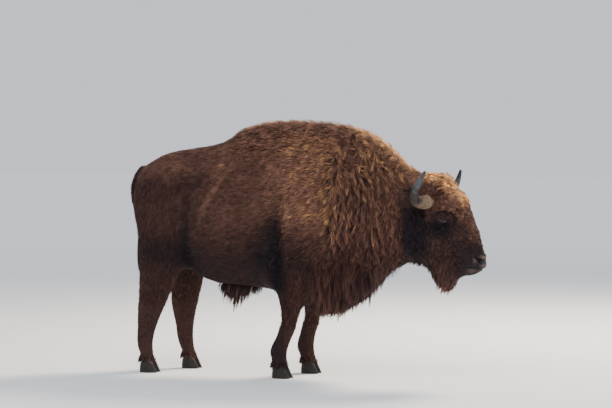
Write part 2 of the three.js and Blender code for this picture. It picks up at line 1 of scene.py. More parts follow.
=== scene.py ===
"""A standing European bison bull: hide, coat, eyes, horns and hooves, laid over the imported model.

Lengths are metres in the row frame: +X runs from rump to head, +Y to the animal's left, +Z up.
One hide replaces the nodes of flesh and lies inside them by the depth of the coat. The coat is solid
locks that grow from the hide, follow its lie and end near the outline of the nodes.
On the head, places are (forward, left, up) from its centre, and f, l and u are these three.
"""
import math
from contextlib import contextmanager

import bmesh
import bpy
import numpy as np
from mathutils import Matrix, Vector, noise
from mathutils.bvhtree import BVHTree
from mathutils.kdtree import KDTree


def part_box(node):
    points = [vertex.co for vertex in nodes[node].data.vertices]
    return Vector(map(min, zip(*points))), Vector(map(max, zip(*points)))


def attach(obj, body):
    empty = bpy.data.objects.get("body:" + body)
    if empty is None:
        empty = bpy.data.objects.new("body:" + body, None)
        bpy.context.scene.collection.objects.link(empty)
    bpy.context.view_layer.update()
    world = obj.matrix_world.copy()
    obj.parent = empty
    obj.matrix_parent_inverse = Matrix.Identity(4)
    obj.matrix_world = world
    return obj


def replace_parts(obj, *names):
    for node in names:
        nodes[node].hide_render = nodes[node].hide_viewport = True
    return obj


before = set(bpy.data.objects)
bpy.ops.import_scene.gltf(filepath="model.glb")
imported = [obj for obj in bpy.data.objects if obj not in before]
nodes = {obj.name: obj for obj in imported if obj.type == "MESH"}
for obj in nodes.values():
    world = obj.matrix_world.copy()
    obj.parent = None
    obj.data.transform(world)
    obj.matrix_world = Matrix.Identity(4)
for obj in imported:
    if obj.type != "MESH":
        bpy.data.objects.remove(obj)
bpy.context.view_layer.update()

SIDES = {"left": 1.0, "right": -1.0}
PAIRS = ("fore", "hind")
PLACES = ("inner", "outer")

# ---------------------------------------------------------------- places on the head

EYE_FORWARD = 0.080
EYE_OUT = 0.125
EYE_HEIGHT = 0.022
EYE_RADIUS = 0.022
EYE_OUTWARD = (0.33, 0.93, 0.05)  # which way it looks: forward, to its own side and up
EYE_SLANT = 0.30  # radians, down towards the nose
EYE_AREA = (0.08, 0.13, 0.022)  # middle of the short hair round the eye
EYE_AREA_RADII = (0.035, 0.05, 0.03)

NOSTRIL = (0.333, 0.038, -0.257)
NOSTRIL_END = (0.298, 0.068, -0.231)
NOSTRIL_WIDTHS = (0.0185, 0.0088)  # at its front and its end
NOSTRIL_DEPTHS = (0.032, 0.014)
NOSTRIL_RIM = (0.0075, 0.0075)  # height and width
NOSE = (0.318, 0.0, -0.275)
MOUTH_CORNER = 0.222
MOUTH_LEVELS = (-0.301, -0.320)
BROW_REACH = (0.082, 0.060)
FACE_KNOB = (0.188, 0.094, -0.080)

HORN_ROOTS = ((-0.024, 0.066, 0.150), (-0.025, 0.092, 0.148), (-0.026, 0.112, 0.147))
HORN_ROOT_RADIUS = 0.047
# Centre line of the left horn, with its half thickness.
HORN_LINE = (
    (-0.024, 0.080, 0.150, 0.049),
    (-0.026, 0.130, 0.145, 0.049),
    (-0.046, 0.200, 0.139, 0.044),
    (-0.064, 0.262, 0.158, 0.036),
    (-0.050, 0.298, 0.212, 0.028),
    (-0.016, 0.298, 0.280, 0.020),
    (0.018, 0.274, 0.352, 0.009),
)


def unit(vector):
    vector = np.asarray(vector, dtype=float)
    return vector / np.linalg.norm(vector)


def unit_rows(rows):
    return rows / np.maximum(np.linalg.norm(rows, axis=1, keepdims=True), 1e-9)


def corners_of(node):
    low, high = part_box(node)
    return np.array(low), np.array(high)


def middle_of(node):
    low, high = corners_of(node)
    return (low + high) / 2


eyes = middle_of("eye_left"), middle_of("eye_right")
head_left = unit(eyes[0] - eyes[1])
head_up = np.array([0.0, 0.0, 1.0])
head_forward = np.cross(head_left, head_up)
head_axes = np.stack([head_forward, head_left, head_up])
head_at = (eyes[0] + eyes[1]) / 2 - head_forward * EYE_FORWARD - head_up * EYE_HEIGHT


def to_head(points):
    return (points - head_at) @ head_axes.T


def from_head(place, sign=1.0):
    forward, left, up = place
    return head_at + head_forward * forward + head_left * left * sign + head_up * up


def eye_at(sign, out=EYE_OUT):
    return from_head((EYE_FORWARD, out, EYE_HEIGHT), sign)


def eye_axes(sign):
    """Towards the front corner of the eye, up across it, and straight out of it."""
    forward, out, up = EYE_OUTWARD
    outward = unit(head_left * sign * out + head_forward * forward + head_up * up)
    along = head_forward * math.cos(EYE_SLANT) - head_up * math.sin(EYE_SLANT)
    along = unit(along - outward * (along @ outward))
    upward = np.cross(outward, along) * sign
    return along, upward if upward[2] > 0 else -upward, outward


def folded(head):
    """Places on the head with both its sides as the left one."""
    return head * np.where(head[:, 1:2] < 0, (1.0, -1.0, 1.0), 1.0)


# ---------------------------------------------------------------- shares and smooth shapes

def ease(start, end, value):
    """0 before start, 1 after end, and smooth between them. start may be the larger."""
    share = np.clip((value - start) / (end - start), 0.0, 1.0)
    return share * share * (3 - 2 * share)


def near(points, centre, radii):
    """1 at the centre of an oval, falling smoothly to 0 at about twice its radii."""
    return np.exp(-(((points - np.array(centre)) / np.array(radii)) ** 2).sum(axis=1))


def bell(value, middle, width):
    return np.exp(-((value - middle) / width) ** 2)


def limited(value):
    return np.clip(value, 0, 1)


def mix(a, b, share):
    return a + (b - a) * share


def layered(values, layers):
    """The values, numbers or rows, with each (new value, share) laid over them in turn."""
    for new, share in layers:
        values = mix(values, np.asarray(new), share[:, None] if values.ndim > 1 else share)
    return values


def from_line(places, start, end):
    """How far each place is from a line, and how far along the line it lies, from 0 to 1."""
    start, way = np.array(start), np.array(end) - np.array(start)
    share = limited((places - start) @ way / (way @ way))
    return np.linalg.norm(places - (start + share[:, None] * way), axis=1), share


# ---------------------------------------------------------------- meshes from arrays

def mesh_from(name, points, faces):
    """A smooth mesh of one kind of face, triangles or quads."""
    points = np.asarray(points, dtype=np.float32)
    faces = np.asarray(faces, dtype=np.int32)
    mesh = bpy.data.meshes.new(name)
    mesh.vertices.add(len(points))
    mesh.vertices.foreach_set("co", points.ravel())
    mesh.loops.add(faces.size)
    mesh.loops.foreach_set("vertex_index", faces.ravel())
    mesh.polygons.add(len(faces))
    mesh.polygons.foreach_set("loop_start", np.arange(0, faces.size, faces.shape[1], dtype=np.int32))
    mesh.update(calc_edges=True)
    smooth(mesh)
    return mesh


def smooth(mesh):
    mesh.polygons.foreach_set("use_smooth", np.full(len(mesh.polygons), True))


def put_attribute(mesh, name, values):
    """A number, or a colour of four, for each vertex."""
    values = np.asarray(values, dtype=np.float32)
    kind, key = ("FLOAT", "value") if values.ndim == 1 else ("FLOAT_COLOR", "color")
    mesh.attributes.new(name, kind, "POINT").data.foreach_set(key, values.ravel())


def put_uv(mesh, name, places):
    """A UV map from a place for each corner of each face."""
    mesh.uv_layers.new(name=name).uv.foreach_set("vector", places.ravel().astype(np.float32))


def show(mesh, material):
    """Links a finished mesh as a piece that rides on the animal's one body."""
    piece = bpy.data.objects.new(mesh.name, mesh)
    bpy.context.scene.collection.objects.link(piece)
    mesh.materials.clear()
    mesh.materials.append(material)
    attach(piece, "root")
    return piece


def numbers_of(things, key, width, kind=np.int32):
    values = np.empty(len(things) * width, dtype=kind)
    things.foreach_get(key, values)
    return values.reshape(-1, width)


def points_of(mesh):
    return numbers_of(mesh.vertices, "co", 3, np.float32).astype(float)


def edges_of(mesh):
    return numbers_of(mesh.edges, "vertices", 2)


def triangles_of(mesh):
    mesh.calc_loop_triangles()
    return numbers_of(mesh.loop_triangles, "vertices", 3)


def move_to(mesh, points):
    mesh.vertices.foreach_set("co", points.astype(np.float32).ravel())


@contextmanager
def editing(mesh):
    """The mesh as a bmesh, written back at the end."""
    bm = bmesh.new()
    bm.from_mesh(mesh)
    yield bm
    bm.to_mesh(mesh)
    bm.free()


def normals_at(points, triangles):
    """Normals of the vertices, weighted by the areas of the triangles round them."""
    a, b, c = points[triangles].transpose(1, 0, 2)
    across = np.cross(b - a, c - a)
    total = np.zeros_like(points)
    for corner in range(3):
        for axis in range(3):
            total[:, axis] += np.bincount(triangles[:, corner], across[:, axis], len(points))
    return unit_rows(total)


def averages(values, edges):
    """The mean of each vertex's neighbours."""
    count = np.maximum(np.bincount(edges.ravel(), minlength=len(values)), 1)
    result = np.empty_like(values)
    for old, new in zip(values.reshape(len(values), -1).T, result.reshape(len(values), -1).T):
        total = np.bincount(edges[:, 0], old[edges[:, 1]], len(values))
        new[:] = (total + np.bincount(edges[:, 1], old[edges[:, 0]], len(values))) / count
    return result


def smoothed(values, edges, rounds, share=0.5):
    for _ in range(rounds):
        step = averages(values, edges) - values
        values = values + step * (share if np.isscalar(share) or values.ndim == 1 else share[:, None])
    return values


# ---------------------------------------------------------------- hide

HIDE_VOXEL = 0.0155
# How far out the ball lies that fills each eye's hole.
EYE_FILL_OUT = 0.116
FLESH = ["trunk", "neck", "head", "muzzle", "beard", "tail", "tail_tuft"]
FLESH += [f"ear_{side}" for side in SIDES]
FLESH += [f"{pair}_leg_{part}_{side}" for pair in PAIRS for part in ("upper", "lower") for side in SIDES]

# How strongly each part is smoothed, to take the flats out of the broad body.
SMOOTH_ROUNDS = 42
SMOOTH_SHARE = {"trunk": 0.5, "neck": 0.45, "head": 0.16, "muzzle": 0.10, "beard": 0.2, "ear": 0.06,
                "leg_upper": 0.22, "leg_lower": 0.07, "tail": 0.05}
SMOOTH_LEAST = 0.05


def kind_of(name):
    """The part of the body that a node belongs to, without its side."""
    for side in SIDES:
        name = name.replace(f"_{side}", "")
    for pair in PAIRS:
        name = name.replace(f"{pair}_", "")
    return name


KINDS = sorted({kind_of(name) for name in FLESH})


def joined_flesh():
    """All nodes of flesh as one mesh, with the holes for horns and eyes filled."""
    mesh = bpy.data.meshes.new("flesh")
    with editing(mesh) as bm:
        for name in FLESH:
            bm.from_mesh(nodes[name].data)
        bmesh.ops.remove_doubles(bm, verts=bm.verts, dist=1e-5)
        for sign in SIDES.values():
            balls = [(from_head(place, sign), HORN_ROOT_RADIUS) for place in HORN_ROOTS]
            for centre, radius in balls + [(eye_at(sign, EYE_FILL_OUT), EYE_RADIUS)]:
                made = bmesh.ops.create_uvsphere(bm, u_segments=20, v_segments=12, radius=radius)
                bmesh.ops.translate(bm, verts=made["verts"], vec=Vector(centre))
    return mesh


def remeshed(mesh, voxel):
    """One closed surface round everything in the mesh."""
    piece = bpy.data.objects.new("flesh", mesh)
    bpy.context.scene.collection.objects.link(piece)
    remesh = piece.modifiers.new("one surface", "REMESH")
    remesh.mode = "VOXEL"
    remesh.voxel_size = voxel
    result = bpy.data.meshes.new_from_object(piece.evaluated_get(bpy.context.evaluated_depsgraph_get()))
    bpy.data.objects.remove(piece)
    return result


def largest_shell(mesh):
    """Only the outer surface: closed hollows inside are dropped."""
    edges = edges_of(mesh)
    shell = np.arange(len(mesh.vertices))
    before = None
    while before is None or (shell != before).any():
        before = shell.copy()
        np.minimum.at(shell, edges.ravel(), np.repeat(shell[edges].min(axis=1), 2))
        shell = shell[shell]
    keep = np.bincount(shell).argmax()
    with editing(mesh) as bm:
        bmesh.ops.delete(bm, geom=[v for v in bm.verts if shell[v.index] != keep], context="VERTS")
    return mesh


def nearest_nodes(points):
    """For each point, the number in FLESH of the node nearest to it."""
    corners, faces, owners = [], [], []
    for number, name in enumerate(FLESH):
        mesh = nodes[name].data
        base = len(corners)
        corners += [vertex.co.copy() for vertex in mesh.vertices]
        faces += [tuple(base + i for i in polygon.vertices) for polygon in mesh.polygons]
        owners += [number] * len(mesh.polygons)
    tree = BVHTree.FromPolygons(corners, faces)
    return np.array([owners[tree.find_nearest(Vector(point))[2]] for point in points])


def refined(mesh, chosen):
    """Halves the edges whose both ends are chosen."""
    with editing(mesh) as bm:
        edges = [edge for edge in bm.edges if chosen[edge.verts[0].index] and chosen[edge.verts[1].index]]
        bmesh.ops.subdivide_edges(bm, edges=edges, cuts=1, use_grid_fill=True)
        bmesh.ops.triangulate(bm, faces=[face for face in bm.faces if len(face.verts) > 4])


def inside(rows, low, high):
    return ((rows > low) & (rows < high)).all(axis=1)


def within(rows, centre, reach):
    return np.linalg.norm(rows - np.array(centre), axis=1) < reach


def fine_places(points):
    """The head, and the legs below their upper joints."""
    return inside(to_head(points), (-0.13, -0.25, -0.40), (np.inf, 0.25, 0.30)) | (points[:, 2] < 0.46)


def finer_places(points):
    """Round the eyes, and the muzzle."""
    head = to_head(points)
    muzzle = inside(head, (0.17, -np.inf, -0.38), (np.inf, np.inf, -0.17))
    return within(folded(head), (0.08, 0.13, 0.02), 0.095) | muzzle


def finest_places(points):
    """The nostrils and the lips."""
    head = to_head(points)
    height, mouth = mouth_height(head)
    return within(folded(head), (0.312, 0.047, -0.256), 0.042) | (mouth > 0.2) & (np.abs(height) < 0.018)


def coat_depth(points, part):
    """How far the hide lies inside the outline."""
    x, y, z = points.T
    head = to_head(points)
    f, _, u = head.T
    face = 0.007 + 0.006 * ease(0.10, 0.24, u) + 0.010 * ease(-0.02, -0.14, f)
    face += 0.008 * ease(0.03, 0.07, f) * ease(0.17, 0.12, f) * ease(0.14, 0.20, u)
    face = layered(face, (
        (0.004, ease(0.18, 0.24, f) * ease(-0.12, -0.2, u)),
        (0.0015, near(head, NOSE, (0.05, 0.08, 0.05))),
        (0.004, near(folded(head), (0.08, 0.135, 0.022), EYE_AREA_RADII))))
    return layered(np.full(len(points), 0.011), (
        (0.019, ease(-0.15, 0.15, x)),
        (0.020, ease(-0.52, -0.30, x) * ease(1.50, 1.66, z)),
        (0.030, ease(0.25, 0.50, x)),
        (0.009, ease(0.08, 0.24, x) * ease(0.16, 0.06, np.abs(y)) * ease(1.30, 1.42, z)),
        (0.050, ease(0.15, 0.40, x) * ease(0.90, 0.72, z)),
        (0.022, limited(near(points, (-0.515, 0.0, 0.56), (0.10, 0.08, 0.08)) * 1.5)),
        (face, limited(part["head"] + part["muzzle"] + part["beard"])),
        (0.024, part["beard"]),
        (0.012, part["leg_upper"]),
        (0.005, part["leg_lower"]),
        (0.009, part["tail"]),
        (0.013, part["tail_tuft"]),
        (0.004, part["ear"])))


def mouth_height(head):
    """How far each point lies above the line of the mouth, and how much of the mouth is there."""
    f = head[:, 0]
    level = mix(*MOUTH_LEVELS, ease(0.275, 0.338, f))
    here = ease(MOUTH_CORNER, MOUTH_CORNER + 0.02, f) * ease(0.045, 0.02, np.abs(head[:, 2] - level))
    return head[:, 2] - level, here


def eye_ring(head):
    """How far out from the eye, where 1 is the crease under the brow, and how much of the brow is there."""
    ahead, above = head[:, 0] - EYE_FORWARD, head[:, 2] - EYE_HEIGHT
    ring = np.hypot(ahead / BROW_REACH[0], above / BROW_REACH[1])
    here = ease(-0.035, 0.005, above) * ease(-0.075, -0.03, ahead) * ease(0.05, 0.08, np.abs(head[:, 1]))
    return ring, here


def nostril_reach(place):
    """How far each place is from the nostril's line, how wide it is there, and how far back along it."""
    away, share = from_line(place, NOSTRIL, NOSTRIL_END)
    return away, mix(*NOSTRIL_WIDTHS, share), share


def nostril_share(place, spread=1.0):
    """1 inside the nostril and 0 outside it."""
    away, hollow, _ = nostril_reach(place)
    return np.exp(-(away / (hollow * spread)) ** 4)


# Bumps and hollows of the face as (height, middle, radii): the groove between the nostrils, the bone
# under the eye, the groove in front of it and the jaw muscle.
FACE_FORMS = (
    (-0.004, (0.340, 0.0, -0.280), (0.03, 0.005, 0.035)),
    (0.005, (0.105, 0.125, -0.038), (0.07, 0.04, 0.014)),
    (-0.008, (0.152, 0.105, -0.050), (0.045, 0.04, 0.035)),
    (0.008, (0.020, 0.125, -0.120), (0.06, 0.05, 0.07)),
)
# Rings of the face as (height, radius, width): the ridge of the brow, the crease below it and the soft
# upper lid; and the whorl on the side of the nose.
BROW_RINGS = ((0.011, 1.36, 0.18), (-0.009, 1.02, 0.11), (0.005, 0.70, 0.12))
KNOB_RINGS = ((0.0055, 0.024, 0.009), (-0.004, 0.011, 0.006), (0.003, 0.0, 0.006))
# Lips and the line between them, as (height, distance above the line, width).
LIP_LINES = ((0.0045, 0.011, 0.008), (0.0035, -0.012, 0.008), (-0.010, 0.0, 0.0042))
# The socket: the flat distances from the eye's line where it starts to rise and where it ends, the level
# of its floor against the eyeball's middle, and its rise.
SOCKET_FLOOR = 0.019
SOCKET_RIM = 0.032
SOCKET_LEVEL = -0.004
SOCKET_RISE = 0.018


def bells(value, rows):
    return sum(height * bell(value, middle, width) for height, middle, width in rows)


def shape_face(points, normals):
    """Sockets, nostrils, the mouth and the folds of the face, as moves along the normals."""
    head = to_head(points)
    f, _, u = head.T
    place = folded(head)
    # A nostril is a comma, wide at its front end, that runs up and back between raised rims.
    away, hollow, share = nostril_reach(place)
    rim_height, rim_width = NOSTRIL_RIM
    move = rim_height * bell(away, 1.9 * hollow, rim_width) * (away < 0.05)
    move -= mix(*NOSTRIL_DEPTHS, share) * np.exp(-(away / hollow) ** 4)
    for height, middle, radii in FACE_FORMS:
        move += height * near(place, middle, radii)
    height, mouth = mouth_height(head)
    move += mouth * bells(height, LIP_LINES)
    # Folds above the nostril and across the bridge of the nose.
    move += 0.0016 * np.sin((f - 0.7 * u) * 210) * near(place, (0.262, 0.066, -0.215), (0.03, 0.03, 0.035))
    bridge = ease(0.17, 0.22, f + 0.25 * u) * ease(0.04, 0.0, u) * ease(-0.22, -0.18, u)
    move += 0.0022 * np.sin(u * 190 + 8 * place[:, 1]) * bridge
    ring, brow = eye_ring(head)
    move += brow * bells(ring, BROW_RINGS)
    move += bells(np.linalg.norm(place - np.array(FACE_KNOB), axis=1), KNOB_RINGS)
    moved = points + normals * move[:, None]
    # Nothing of the hide lies above the eyeball's middle inside the socket.
    for sign in SIDES.values():
        outward = eye_axes(sign)[2]
        offset = moved - eye_at(sign)
        height = offset @ outward
        flat = np.linalg.norm(offset - height[:, None] * outward, axis=1)
        limit = SOCKET_LEVEL + SOCKET_RISE * ease(SOCKET_FLOOR, SOCKET_RIM, flat)
        sink = np.where(flat < SOCKET_RIM, np.maximum(height - limit, 0), 0) * (np.abs(height) < 0.06)
        moved -= outward * sink[:, None]
    return moved


# Creases and ridges of the flanks, as upper end, lower end (both x, z), half width and height.
BODY_LINES = (
    ((-0.054, 1.30), (-0.068, 0.80), 0.036, -0.028),
    ((-0.068, 0.82), (-0.115, 0.62), 0.036, -0.020),
    ((-0.430, 1.53), (-0.615, 1.25), 0.026, 0.010),
    ((-0.615, 1.25), (-0.690, 1.05), 0.026, 0.006),
    ((-0.480, 1.52), (-0.665, 1.24), 0.030, -0.009),
    ((-0.795, 1.34), (-0.800, 0.78), 0.040, -0.010),
    ((-0.250, 1.15), (-0.420, 0.86), 0.060, 0.006),
    ((0.215, 1.20), (0.195, 0.86), 0.050, 0.007),
)
# Wavy folds where the mane meets the shoulder.
NECK_FOLD_WIDTH = 0.050
NECK_FOLD_HEIGHT = 0.007


def neck_folds(points):
    """From -1 in the furrows of the neck to 1 on the folds between them."""
    x, _, z = points.T
    here = ease(0.22, 0.30, x) * ease(0.74, 0.60, x) * ease(0.86, 1.04, z) * ease(1.64, 1.50, z)
    warp = 0.020 * np.sin(7.0 * z + 4.0 * x) + 0.012 * np.sin(17.0 * z - 9.0 * x) + 0.16 * (z - 1.3)
    return here * np.sin(2 * np.pi * (x + warp) / NECK_FOLD_WIDTH) * (0.65 + 0.35 * np.sin(9.0 * z - 21.0 * x))


def shape_body(points, normals, part):
    """Creases and ridges of the trunk, and the folds of the neck."""
    move = np.zeros(len(points))
    for top, low, width, height in BODY_LINES:
        away, share = from_line(points[:, ::2], top, low)
        ends = ease(0.0, 0.12, share + 0.02) * ease(1.0, 0.88, share - 0.02)
        move += height * bell(away, 0.0, width) * (0.25 + 0.75 * ends)
    move *= ease(0.10, 0.20, np.abs(points[:, 1])) * limited(part["trunk"] + part["neck"] + part["leg_upper"])
    return points + normals * (move + NECK_FOLD_HEIGHT * neck_folds(points) * (1 - part["head"]))[:, None]


# How far the hide is drawn down over the top of the hooves, and swells there.
CORONET_DROP = 0.017
CORONET_SWELL = 0.004
TENDON_HEIGHT = 0.004
TENDON_GROOVE = 0.006


def shape_legs(points, normals, part):
    """The groove between bone and tendon down the lower legs, and the swell over the hooves."""
    _, y, z = points.T
    sideways = np.abs(normals[:, 1]) ** 3
    backward = (normals[:, 0] < 0) * (1 - sideways)
    pastern = part["leg_lower"] * ease(0.150, 0.105, z)
    move = CORONET_SWELL * pastern
    for pair in PAIRS:
        for side in SIDES:
            low, high = corners_of(f"{pair}_leg_lower_{side}")
            here = bell(y, (low[1] + high[1]) / 2, 0.09) * part["leg_lower"]
            here *= ease(0.13, 0.18, z) * ease(high[2] - 0.05, high[2] - 0.12, z)
            move += here * (TENDON_HEIGHT * backward - TENDON_GROOVE * sideways)
    moved = points + normals * move[:, None]
    moved[:, 2] -= CORONET_DROP * pastern
    return moved


class Hide:
    """The hide's surface, and how much of each of its vertices belongs to each part of the body."""

    def __init__(self):
        self.mesh = mesh = largest_shell(remeshed(joined_flesh(), HIDE_VOXEL))
        points = points_of(mesh)
        part = self.parts(points, edges_of(mesh), 3)
        share = sum(part[kind] * SMOOTH_SHARE.get(kind, SMOOTH_LEAST) for kind in KINDS)
        points = smoothed(points, edges_of(mesh), SMOOTH_ROUNDS, share)
        points -= normals_at(points, triangles_of(mesh)) * coat_depth(points, part)[:, None]
        move_to(mesh, smoothed(points, edges_of(mesh), 3, share))
        for places, rounds in ((fine_places, 3), (finer_places, 2), (finest_places, 2)):
            refined(mesh, places(points_of(mesh)))
            points = points_of(mesh)
            points = smoothed(points, edges_of(mesh), rounds, places(points) * 0.4)
            move_to(mesh, points)
        self.edges = edges_of(mesh)
        self.triangles = triangles_of(mesh)
        self.part = self.parts(points, self.edges, 4)
        points = shape_face(points, normals_at(points, self.triangles))
        points = shape_legs(points, normals_at(points, self.triangles), self.part)
        points = shape_body(points, normals_at(points, self.triangles), self.part)
        self.points = smoothed(points, self.edges, 1, 0.25)
        move_to(mesh, self.points)
        self.normals = normals_at(self.points, self.triangles)
        self.tree = BVHTree.FromPolygons(self.points.tolist(), self.triangles.tolist())

    def parts(self, points, edges, rounds):
        owner = nearest_nodes(points)
        result = {kind: np.zeros(len(points)) for kind in KINDS}
        for number, name in enumerate(FLESH):
            result[kind_of(name)][owner == number] = 1.0
        return {kind: smoothed(values, edges, rounds) for kind, values in result.items()}


hide = Hide()


# ---------------------------------------------------------------- what grows where

COAT_KINDS = ("length", "width", "height", "clump", "wave", "bend")
HEIGHT = COAT_KINDS.index("height")
PLAIN_COAT = (0.048, 0.0052, 0.008, 0.25, 0.0008, 0.15)
FOLD_LIFT = 0.45  # of the coat's height
# Wing and rims of the nostril, and the lower lip, as (amount, middle, radii).
PALE_PLACES = (
    (0.42, (0.296, 0.074, -0.252), (0.012, 0.014, 0.018)),
    (0.95, (0.342, 0.030, -0.233), (0.020, 0.026, 0.0085)),
    (0.95 * 0.7, (0.312, 0.056, -0.232), (0.014, 0.020, 0.0065)),
    (0.30, (0.352, 0.014, -0.258), (0.012, 0.018, 0.018)),
    (0.30, (0.338, 0.036, -0.286), (0.020, 0.028, 0.0060)),
    (0.32, (0.262, 0.055, -0.327), (0.030, 0.035, 0.012)),
)


def laid_down(lie, normals):
    """Directions turned down onto the surface."""
    return unit_rows(lie - normals * (lie * normals).sum(axis=1, keepdims=True))


def field_noise(points, size, seed):
    """Smooth noise from about -1 to 1, in lumps of the given size."""
    shift = Vector((seed * 7.31, seed * 3.17, seed * 5.53))
    return np.array([noise.noise(Vector(point) / size + shift) for point in points])


class Growth:
    """For each vertex of the hide: the lie and the measures of the coat, and its markings with painted shade and
    highlights.
    """

    def __init__(self, points, part):
        self.points, self.part = points, part
        self.head = to_head(points)
        self.place = folded(self.head)
        self.on_head = limited(part["head"] + part["muzzle"] + part["beard"])
        self.off_head = 1 - self.on_head
        self.on_legs = limited(part["leg_upper"] + part["leg_lower"])
        self.on_tail = limited(part["tail"] + part["tail_tuft"])
        self.neck = ease(0.20, 0.38, points[:, 0]) * self.off_head
        self.folds = neck_folds(points) * self.off_head
        self.lie = self.directions()
        self.coat = dict(zip(COAT_KINDS, self.measures().T))
        self.bare = self.bareness()
        self.marks = np.stack([*self.markings_and_painted_light(), self.bare], axis=1)

    def directions(self):
        """Back along the body, and down where the coat is long or the leg is upright."""
        (x, y, z), (f, l, u), part = self.points.T, self.head.T, self.part
        down_face = 0.37 * head_forward - 0.93 * head_up
        back_down = -0.35 * head_forward - 0.94 * head_up
        from_eye = np.stack([f - EYE_FORWARD, 0 * l, u - EYE_HEIGHT], axis=1) @ head_axes
        lie = layered(np.tile((-1.0, 0.0, -0.15), (len(x), 1)), (
            ((-1.0, 0.0, -0.32), ease(-0.35, 0.1, x)),
            ((-0.25, 0.0, -1.0), ease(-0.74, -0.96, x) * ease(1.52, 1.36, z)),
            ((-0.4, 0.0, -1.0), ease(-0.2, 0.05, x) * ease(0.98, 0.76, z)),
            ((-0.12, 0.0, -1.0), self.neck),
            ((0.55, 0.0, -0.85), ease(0.28, 0.44, x) * ease(1.22, 1.42, z) * self.off_head),
            ((-0.9, 0.0, 0.3), ease(0.15, 0.25, x) * ease(0.15, 0.05, np.abs(y)) * ease(1.28, 1.40, z)
             * self.off_head),
            ((-0.3, 0.0, -1.0), part["leg_upper"]),
            ((0.0, 0.0, -1.0), part["leg_lower"]),
            ((0.0, 0.0, -1.0), self.on_tail),
            # On the head: forwards over the crown, down the face and back over the cheeks.
            (back_down, self.on_head),
            (down_face, self.on_head * ease(0.02, 0.12, f + 0.35 * u)),
            (0.75 * head_forward - 0.6 * head_up, self.on_head * ease(0.10, 0.19, u)),
            (back_down, self.on_head * ease(0.16, 0.24, f) * ease(-0.14, -0.22, u)),
            (unit_rows(from_eye), 0.8 * limited(near(self.place, EYE_AREA, EYE_AREA_RADII) * 1.5))))
        for sign in SIDES.values():
            out = unit(head_left * sign * 0.9 - head_forward * 0.4)
            lie = layered(lie, [(out, part["ear"] * (np.sign(l) == sign))])
        return laid_down(smoothed(laid_down(lie, hide.normals), hide.edges, 6), hide.normals)

    def measures(self):
        """Length, width, height over the hide, clumping, wave and bend of the locks."""
        (x, _, z), (f, _, u), part = self.points.T, self.head.T, self.part
        crown = np.tile((0.058, 0.0044, 0.0, 0.60, 0.004, 1.4), (len(x), 1))
        crown[:, HEIGHT] = mix(0.036, 0.012, ease(-0.02, 0.09, f))
        coat = layered(np.tile(PLAIN_COAT, (len(x), 1)), (
            # shoulder, hump, neck, nape, low mane, beside the ear
            ((0.046, 0.0042, 0.011, 0.22, 0.0014, 0.25), ease(-0.18, 0.05, x)),
            ((0.058, 0.0044, 0.025, 0.24, 0.002, 0.3), ease(-0.52, -0.40, x) * ease(1.52, 1.66, z)),
            ((0.068, 0.0042, 0.023, 0.40, 0.004, 0.4), self.neck),
            ((0.062, 0.0042, 0.031, 0.38, 0.004, 0.9), ease(0.22, 0.42, x) * ease(1.38, 1.55, z) * self.off_head),
            ((0.140, 0.0046, 0.036, 0.65, 0.004, 0.2), ease(0.10, 0.35, x) * ease(0.92, 0.74, z) * self.off_head),
            ((0.045, 0.0050, 0.010, 0.5, 0.002, 0.4),
             0.8 * ease(0.66, 0.74, x) * ease(1.12, 1.18, z) * ease(1.42, 1.34, z) * self.off_head),
            # legs and tail
            ((0.038, 0.0052, 0.009, 0.30, 0.001, 0.1), part["leg_upper"]),
            ((0.024, 0.0042, 0.004, 0.15, 0.0, 0.1), part["leg_lower"]),
            ((0.038, 0.0046, 0.008, 0.2, 0.0, 0.1), part["tail"]),
            # cheeks, curls of the forehead, crown, jaw, muzzle, round the eye, horn's foot, ears
            ((0.030, 0.0038, 0.009, 0.45, 0.0015, 0.7), self.on_head),
            ((0.026, 0.0037, 0.009, 0.72, 0.001, 2.2),
             self.on_head * ease(0.03, 0.11, f + 0.3 * u) * ease(-0.2, -0.1, u)),
            (crown, self.on_head * ease(0.09, 0.17, u)),
            ((0.050, 0.0048, 0.014, 0.45, 0.002, 0.3), self.on_head * ease(0.02, -0.06, f)),
            ((0.013, 0.0027, 0.0030, 0.1, 0.0, 0.1), self.on_head * ease(0.15, 0.22, f) * ease(-0.12, -0.20, u)),
            ((0.013, 0.0026, 0.0044, 0.1, 0.0, 0.1),
             limited(1.6 * near(self.place, (0.078, 0.13, 0.018), (0.052, 0.05, 0.040)))),
            ((0.015, 0.0034, 0.004, 0.2, 0.001, 0.2),
             limited(1.7 * near(self.place, (0.020, 0.13, 0.150), (0.034, 0.05, 0.050)))),
            ((0.042, 0.0042, 0.008, 0.3, 0.002, 0.4), part["ear"])))
        coat[:, HEIGHT] *= 1 + FOLD_LIFT * self.folds
        return coat

    def bareness(self):
        """Naked skin of the nose, the lips, the nostrils and the lids."""
        nose = near(self.head, NOSE, (0.040, 0.050, 0.040))
        line, mouth = mouth_height(self.head)
        lids = near(self.place, (0.08, 0.145, 0.022), (0.022, 0.05, 0.018))
        return limited(limited(2.2 * nose - 0.5) + mouth * bell(line, 0.0, 0.009) * self.on_head
                       + limited(2.0 * nostril_share(self.place) - 0.4) + limited(2.5 * lids - 0.6))

    def markings_and_painted_light(self):
        """Golden, dark and pale, each from 0 to 1, over the plain chocolate of the body; gold and dark also carry
        painted highlights and painted shade.
        """
        (x, y, z), (f, _, u), part, place = self.points.T, self.head.T, self.part, self.place
        on_head, off_head = self.on_head, self.off_head
        beside = np.abs(y)
        lumps, small, broad, fine = (
            field_noise(self.points, size, seed) for size, seed in ((0.16, 1), (0.045, 2), (0.40, 3), (0.018, 4)))
        sides = ease(0.06, 0.16, beside)
